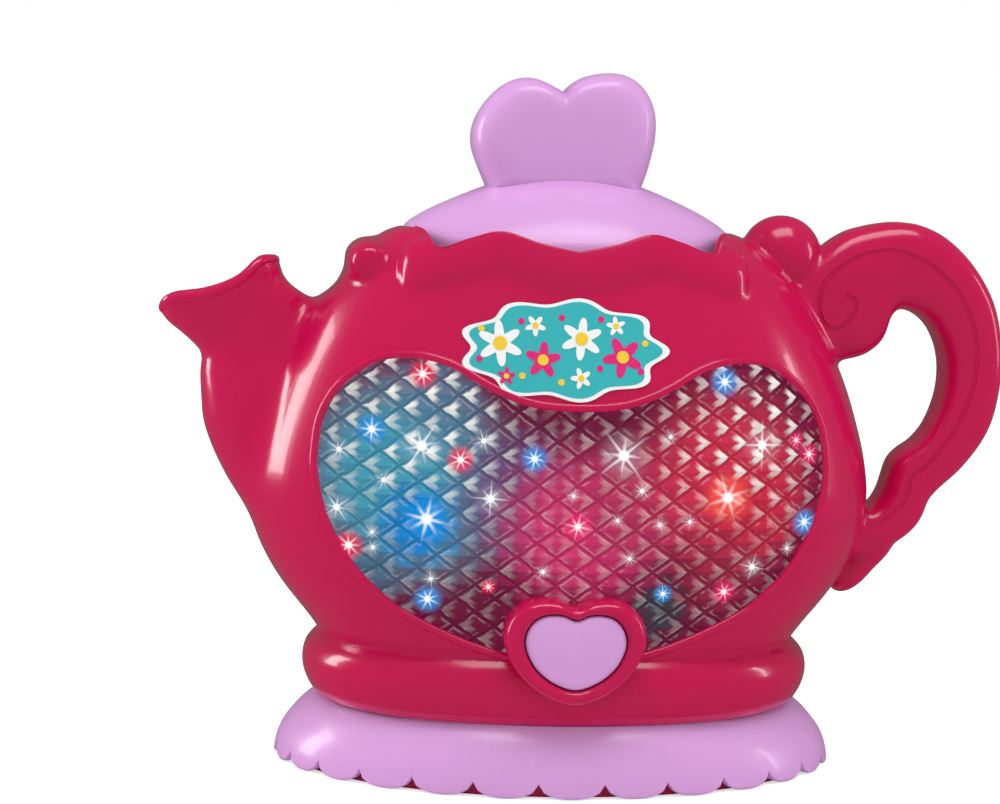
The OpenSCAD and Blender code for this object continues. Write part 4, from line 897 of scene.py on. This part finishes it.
# The painted highlights are strongest at the top of the window and towards its sides.
sunny = add("Math", (lit((along_z, 58 * MM, 88 * MM, 0, 1), (sideways, 10 * MM, 36 * MM, 0.25, 1),
                         (sideways, 46 * MM, 66 * MM, 1, 0.45)), 0.17), operation="MAXIMUM")
patches = add("TexNoise", {"Vector": place, "Scale": 1 / (9 * MM), "Detail": 2.0})
caught = add("Math", (arrows, sunny), operation="MULTIPLY")
caught = add("Math", (caught, lit((patches, 0.35, 0.55, 0.55, 1))), operation="MULTIPLY")
edge = add("Math", (least, far_least), operation="MINIMUM")
# Painted shade: the glow is darkened along the edges of each cell.
painted_edge_shade = lit((edge, 0.01, 0.08, 0.72, 1))
# Painted highlights: thin pale lines just inside the cell edges.
painted_edge_highlights = lit((edge, 0.07, 0.11, 0, 1), (edge, 0.13, 0.2, 1, 0), (wander, 0.45, 0.6, 0, 0.16))
daylight = add("Math", (caught, painted_edge_highlights), operation="ADD")
netted = add("VectorMath", {0: glow, "Scale": painted_edge_shade}, operation="SCALE")
lit_facet = add("Mix", {"Factor": daylight, "A": netted, "B": "#f0efe8"}, "Result", data_type="RGBA")
# Painted shade by facet direction: facets that face up and forward glow brighter than the rest.
painted_facet_light = add("VectorMath", (facet, (0.1, -0.5, 0.85)), "Value", operation="DOT_PRODUCT")
shader = add("BsdfPrincipled", {
    "Base Color": "#141014", "Roughness": 0.25, "IOR": 1.4, "Specular IOR Level": 0.3,
    "Emission Color": lit_facet, "Emission Strength": lit((painted_facet_light, 0.2, 0.8, 0.86, 1.04))})
add("OutputMaterial", {"Surface": shader})
belongs(lens, "teapot", "clear_lens", "window_lens", material=lens_painted_glow)

# %% [markdown]
# ## LED glints
#
# Through the prisms each LED shows as a small star of light in a coloured halo. Every star is a disc over
# the facets. Its shader draws eight rays, a white core and the halo from the place within the disc.

# %% Star shader
star_light = begin(bpy.data.materials.new("led_glint"))
uv = add("UVMap", uv_map="star")
centred = add("VectorMath", (uv, (2, 2, 0), (-1, -1, 0)), operation="MULTIPLY_ADD")
radius = add("VectorMath", (centred,), "Value", operation="LENGTH")
along_u, along_v = [add("SeparateXYZ", (centred,), axis) for axis in "XY"]
angle = add("Math", (along_v, along_u), operation="ARCTAN2")
near_middle = add("Math", (radius, 2.0), operation="POWER")


def rays(times, shift, reach, width):
    """Light of a few rays that fade towards their reach and narrow away from the middle."""
    phase = add("Math", (angle, times, shift), operation="MULTIPLY_ADD")
    wave = add("Math", (add("Math", (phase,), operation="COSINE"),), operation="ABSOLUTE")
    narrow = add("Math", (near_middle, width, 1.5), operation="MULTIPLY_ADD")
    fade = add("MapRange", (radius, 0.0, reach, 1.0, 0.0))
    return add("Math", (add("Math", (wave, narrow), operation="POWER"), fade), operation="MULTIPLY")


star = lit((radius, 0.10, 0.27, 1, 0))
for ray in (rays(2, 0.4, 1.0, 260.0), rays(2, 1.97, 0.7, 260.0), rays(4, 0.2, 0.5, 120.0)):
    star = add("Math", (star, ray), operation="MAXIMUM")
tint, tint_share = [add("Attribute", output=name, attribute_name="tint") for name in ("Color", "Alpha")]
halo = add("Math", (lit((radius, 0.25, 1.0, 0.92, 0)), tint_share), operation="MULTIPLY")
hue = add("Mix", {"Factor": star, "A": tint, "B": "#ffffff"}, "Result", data_type="RGBA")
light = add("Emission", {"Color": hue, "Strength": 1.15})
clear = add("BsdfTransparent", {"Color": "#ffffff"})
cover = add("Math", (star, halo), operation="MAXIMUM")
add("OutputMaterial", {"Surface": add("MixShader", (cover, clear, light))})

# %% Star discs
white, blue, red = ("#eef4ff", 0.12), ("#078ad8", 1.0), ("#e0164a", 1.0)
pink, rose = ("#f0206e", 0.8), ("#ff5a48", 0.75)
stars = [
    (-36.7, 68, 7.4, blue), (-38.2, 85.7, 7, white), (10.7, 84.5, 7.6, white), (37.1, 74.2, 7.8, rose),
    (46, 86.9, 6.4, white), (-28.8, 82.7, 4.2, red), (-55.4, 60.2, 4.6, red), (-21.3, 51.7, 2.4, red),
    (-38.1, 102.9, 4.4, red), (-0.2, 67.1, 4.6, pink), (55.5, 87.8, 2.6, pink), (59.2, 84.2, 3.4, pink),
    (37.3, 50.4, 3.8, pink), (-50.3, 89.1, 4.6, blue), (-35.9, 47.8, 4.4, blue), (36.3, 102.3, 4.6, blue),
    (58.1, 67.3, 4.2, blue), (21.6, 50.3, 3, blue), (-11, 83.4, 4.2, blue), (-58.2, 83.7, 3.4, white),
    (-58.5, 69.5, 4.6, white), (-23.3, 87.4, 3.4, white), (-21.4, 73.5, 5, white), (-47.2, 77, 3, white),
    (-49.8, 64, 2.4, white), (-49.5, 60.2, 2.4, white), (-35.3, 53.1, 2.6, white), (-1.4, 74.6, 2.2, white),
    (-8.3, 55.8, 2.4, white), (9.5, 68.7, 2.2, white), (20, 67.7, 2.4, white), (27.5, 68.4, 2.4, white),
    (12.8, 59.3, 2.4, white), (15.3, 76, 2.8, white), (22.3, 89.1, 2.4, white), (53.6, 60.9, 2.4, white),
    (44.3, 56.6, 3.8, white)]
star_bm = bmesh.new()
uv_layer = star_bm.loops.layers.uv.new("star")
tint_layer = star_bm.verts.layers.float_color.new("tint")
for number, (x, z, reach, (code, halo_share)) in enumerate(stars):
    made = bmesh.ops.create_circle(star_bm, segments=24, radius=1, cap_ends=True)["verts"]
    faces = [f for f in star_bm.faces if f.verts[0] in made]
    made = made + bmesh.ops.poke(star_bm, faces=faces)["verts"]
    turn = 0.35 * number
    for vert in made:
        u, v = vert.co.x, vert.co.y
        vert[tint_layer] = linear(code)[:3] + (halo_share,)
        for loop in vert.link_loops:
            loop[uv_layer].uv = (0.5 + 0.5 * (u * cos(turn) - v * sin(turn)),
                                 0.5 + 0.5 * (u * sin(turn) + v * cos(turn)))
        vert.co = on_front(x + reach * u, z + reach * v, -0.35)
belongs(solid("led_glints", star_bm, sharp=0), "teapot", "led_clear", material=star_light)

# %% [markdown]
# ## Lid and heart knob
#
# The lid is a shallow dome whose edge rolls over into a skirt that stands inside the rim. The edge dips
# at the front and the rear, as the rim does. The shell is thin: the rings run down the inside, round
# the skirt's edge and up the outside.

# %% Lid
lid_dip, boss_z, boss_r, boss_h = 4.6, 149.5, 4.4, 5
lid_profile = [
    (130.5, 1), (134.5, 1), (137.2, 1), (138.6, 0.992), (139.7, 0.968), (141.2, 0.917), (143.8, 0.806),
    (147, 0.638), (149.4, 0.495), (151.2, 0.355), (152.5, 0.22), (153.2, 0.1), (153.4, 0.003)]
lid_rows = spline(lid_profile, 3)


def lid_ring(z, share, inset):
    half_w = max(share * (dome_w / 2 - inset), 0.1)
    half_d = max(share * (dome_d / 2 - inset), 0.1)
    return [Vector((p.x, p.y, z - lid_dip * share ** 4 * abs(p.y / half_d) ** 1.5))
            for p in oval((0, 0, half_w, half_d, 0), 96, 2 + 0.25 * share)]


def lid_form(bm):
    inside = [lid_ring(z - wall * (1 - share), share, wall) for z, share in lid_rows]
    outside = [lid_ring(z, share, 0) for z, share in lid_rows]
    loft(bm, inside[::-1] + outside)
    for x in (-10, 10):
        cylinder(bm, (x, 0, boss_z), boss_r, boss_h)


belongs(built("lid_cap", lid_form), "lid", "lilac_gloss", "lid_dome")

# %% [markdown]
# The knob is a plump heart that grows out of the lid, leaning a little. Rings of its outline stand from
# the rear face to the front face: a quarter round at each edge, and a face that is almost flat.

# %% Heart knob
knob_half, knob_round = 12.5, 10.0
knob_outline = [
    (-0.6, 146), (-10, 146), (-19.5, 146.8), (-21.1, 149.7), (-22.9, 153.8), (-24.5, 157.9), (-25.1, 161.2),
    (-24.8, 164.6), (-23.4, 168.2), (-20.6, 172.2), (-17.2, 175.3), (-13.4, 177), (-9.6, 177.2),
    (-6, 176.1), (-3.2, 174.7), (-1.5, 174), (0.1, 175.5), (2.6, 177.3), (6.2, 178.5), (10.4, 179),
    (14.5, 178.5), (18, 176.6), (20.6, 173.6), (22.2, 170), (22.8, 166.2), (22.6, 161.8), (21.7, 157.2),
    (20.7, 153.4), (19.4, 149.6), (18.2, 146.6), (9, 146)]
knob_line = spline(knob_outline, 4, closed=True)[::-1]
knob_profile = []
for k in range(19):
    turn = pi / 2 * k / 18
    knob_profile.append((knob_round * (1 - cos(turn) ** 0.8), knob_half * sin(turn) ** 0.62))
knob_profile += [(14, knob_half), (19, knob_half), (23.9, knob_half)]
knob_profile = [(d, -y) for d, y in reversed(knob_profile)] + knob_profile[1:]
belongs(lofted("heart_knob_cap", heart_rings(knob_line, Vector((-1.2, 160)), 24, knob_profile)), "lid",
        "lilac_gloss", "heart_knob")

# %% [markdown]
# ## Saucer
#
# The saucer is a thin shell whose lower edge is a row of scallops. Its rings of places go up the outside,
# over the flat top to the hole, and back down the inside; the lower rings follow the scalloped edge.

# %% Saucer
saucer_w, saucer_d, scallops, scallop_h = 147.0, 104.0, 28, 3.6
saucer_hole_w, saucer_hole_d, scallop_steps = 53.0, 36.0, 12
saucer_shares = [
    (1, 0), (0.998, 0.12), (0.988, 0.3), (0.969, 0.48), (0.94, 0.65), (0.905, 0.82), (0.87, 0.94),
    (0.845, 1)]
saucer_side = [(row.y * saucer_h, row.x) for row in spline(saucer_shares, 6)]
saucer_turns = turns(scallops * scallop_steps, scallop_steps // 2)
base_posts = [(side * 50.54, end * 16.92) for side in (-1, 1) for end in (-1, 1)]


def saucer_ring(up, inset, drop=0.0):
    """Ring of the saucer's wall: up runs from the scalloped edge to the shoulder."""
    ring = []
    for k, turn in enumerate(saucer_turns):
        off = abs((k % scallop_steps) / (scallop_steps / 2) - 1)
        edge = scallop_h * (1 - (1 - off * off) ** 0.5)
        z = edge + up * (saucer_h - edge)
        share = between(saucer_side, z, 1)
        ring.append(Vector(((share * saucer_w / 2 - inset) * cos(turn),
                            (share * saucer_d / 2 - inset) * sin(turn), z - drop)))
    return ring


def hole_ring(z):
    return [Vector((saucer_hole_w * cos(t), saucer_hole_d * sin(t), z)) for t in saucer_turns]


def screw_holes(bm):
    for x, y in base_posts:
        cylinder(bm, (x, y, saucer_h), 1.42, 8, 24)


rings = [saucer_ring(0, 0.7), saucer_ring(0, 0.25, -0.12), saucer_ring(0.03, 0)]
rings += [saucer_ring(k / 14, 0) for k in range(1, 15)]
rings += [hole_ring(saucer_h), hole_ring(saucer_h - wall)]
rings += [saucer_ring(k / 14, wall, wall * k / 14) for k in range(14, 0, -1)]
rings += [saucer_ring(0, wall - 0.2, -0.1)]
saucer = lofted("saucer_shell", rings + rings[:1], caps=False)
carve(saucer, [built("screw_holes", screw_holes)])
shade(saucer)
belongs(saucer, "teapot", "lilac_gloss", "saucer")

# %% [markdown]
# ## Badge
#
# A wavy badge sits over the window. It carries a plain pattern of daisies and dots of its own.

# %% Badge
badge_inks = [
    ("white", "#f7f8f8", "#f0f2f2"), ("turquoise", "#35b9bd", "#2fb0b5"), ("pink", "#e81e7c", "#df1a74"),
    ("yellow", "#f7d23c", "#f2c92f")]
badge_paint = {name: plastic(name + "_gloss_print", main, second, 0.3, 1.5, 0.002)
               for name, main, second in badge_inks}
badge_middle = Vector((-3.9, 109.4))
badge_w, badge_h = 48.5, 23.5


def wavy(share, waves=9, depth=0.07):
    ring = []
    for turn in turns(144):
        swell = share / 2 * (1 + depth * cos(waves * turn))
        ring.append(badge_middle + swell * Vector((badge_w * cos(turn), badge_h * sin(turn))))
    return ring


def sheet_on_belly(bm, outline, middle, low, high):
    """Thin plate on the belly: rings of an outline at two heights, closed towards its middle."""
    steps = [1, 0.75, 0.5, 0.25, 0.02]
    rings = [[on_front(*(middle + (p - middle) * s), low) for p in outline] for s in reversed(steps)]
    rings += [[on_front(*(middle + (p - middle) * s), high) for p in outline] for s in steps]
    loft(bm, rings)


def disc(middle, radius, sides=28):
    return [middle + radius * Vector((cos(t), sin(t))) for t in turns(sides)]


def petals(middle, radius, count, shift):
    return [middle + radius * (0.72 + 0.28 * cos(count * (t - shift))) * Vector((cos(t), sin(t)))
            for t in turns(60)]


layers = {paint: [] for paint in badge_paint}
layers["white"].append((wavy(1.0), badge_middle, 0.05, 0.55))
layers["turquoise"].append((wavy(0.93), badge_middle, 0.3, 0.62))
flowers = [
    (-15.5, 1.2, 5.6, 6, "white"), (-5.2, -2.6, 4.4, 5, "pink"), (4.2, 2.6, 5.2, 6, "white"),
    (14.2, -1.6, 5, 5, "pink"), (-7, 5.6, 2.6, 5, "white"), (12.6, 5.8, 2.4, 5, "white"),
    (-14, -6.6, 2.2, 5, "pink"), (4, -6.8, 2.6, 5, "white")]
for x, z, radius, count, paint in flowers:
    middle = badge_middle + Vector((x, z))
    layers[paint].append((petals(middle, radius, count, 0.4 + x), middle, 0.5, 0.75))
    layers["yellow"].append((disc(middle, radius * 0.3), middle, 0.6, 0.9))
dots = [
    (-20.5, -2.6, "pink"), (-10.4, 6.6, "pink"), (-10.2, -6.4, "yellow"), (-0.6, 7.6, "pink"),
    (-0.8, -7.8, "yellow"), (8.6, -4.4, "pink"), (9, 7.4, "pink"), (19.8, 1.8, "yellow"),
    (18.6, -5, "pink"), (-20, 4.6, "yellow")]
for x, z, paint in dots:
    middle = badge_middle + Vector((x, z))
    layers[paint].append((disc(middle, 0.8, 16), middle, 0.5, 0.7))
for paint, shapes in layers.items():
    bm = bmesh.new()
    for outline, middle, low, high in shapes:
        sheet_on_belly(bm, outline, middle, low, high)
    stands_for = ["badge"] if paint == "white" else []
    belongs(solid("badge_" + paint, bm), "teapot", "badge_print", *stands_for, material=badge_paint[paint])

# %% [markdown]
# ## Table and light
#
# The table is plain and pale. A large soft light stands at the left, a smaller one at the right, and one
# overhead, so the glossy shells show long soft highlights like those of the photograph.

# %% Table and backdrop
floor_paint = begin(bpy.data.materials.new("pale_table"))
place = add("TexCoord", output="Object")
drift = add("TexNoise", {"Vector": place, "Scale": 1 / (125 * MM), "Detail": 2.0})
tone = add("Mix", {"Factor": drift, "A": "#f4f4f5", "B": "#f1f1f3"}, "Result", data_type="RGBA")
shader = add("BsdfPrincipled", {"Base Color": tone, "Roughness": 0.6})
shine, dull = [add("Emission", {"Color": "#ffffff", "Strength": strength}) for strength in (0.6, 0.12)]
bright = add("AddShader", (shader, shine))
near = add("MixShader", (add("LightPath", output="Is Camera Ray"), shader, bright))
add("OutputMaterial", {"Surface": add("MixShader", (add("LightPath", output="Is Glossy Ray"), near, dull))})
table = bmesh.new()
bmesh.ops.create_grid(table, x_segments=8, y_segments=8, size=9000)
table = solid("table", table)
table.data.materials.append(floor_paint)

scene.world = begin(bpy.data.worlds.new("studio"))
dim = add("MapRange", (add("LightPath", output="Is Glossy Ray"), 0.0, 1.0, 0.77, 0.12))
level = add("Mix", {"Factor": add("LightPath", output="Is Camera Ray"), "A": dim, "B": 1.0}, "Result")
add("OutputWorld", {"Surface": add("Background", {"Color": "#ffffff", "Strength": level})})

for name, place, aim_z, width, height, watts in (
        ("window_light", (-1.0, 0.28, 0.36), 0.08, 0.26, 0.55, 3.6),
        ("right_light", (1.0, -0.1, 0.3), 0.08, 0.06, 0.5, 1.0),
        ("top_light", (0.05, -0.35, 1.2), 0.05, 0.9, 0.5, 5.6)):
    softbox = bpy.data.lights.new(name, "AREA")
    softbox.shape = "RECTANGLE"
    softbox.size, softbox.size_y = width, height
    softbox.energy = watts
    lamp = bpy.data.objects.new(name, softbox)
    lamp.location = place
    lamp.rotation_euler = (Vector((0, 0, aim_z)) - lamp.location).to_track_quat("-Z", "Y").to_euler()
    scene.collection.objects.link(lamp)
scene.view_settings.view_transform = "Standard"
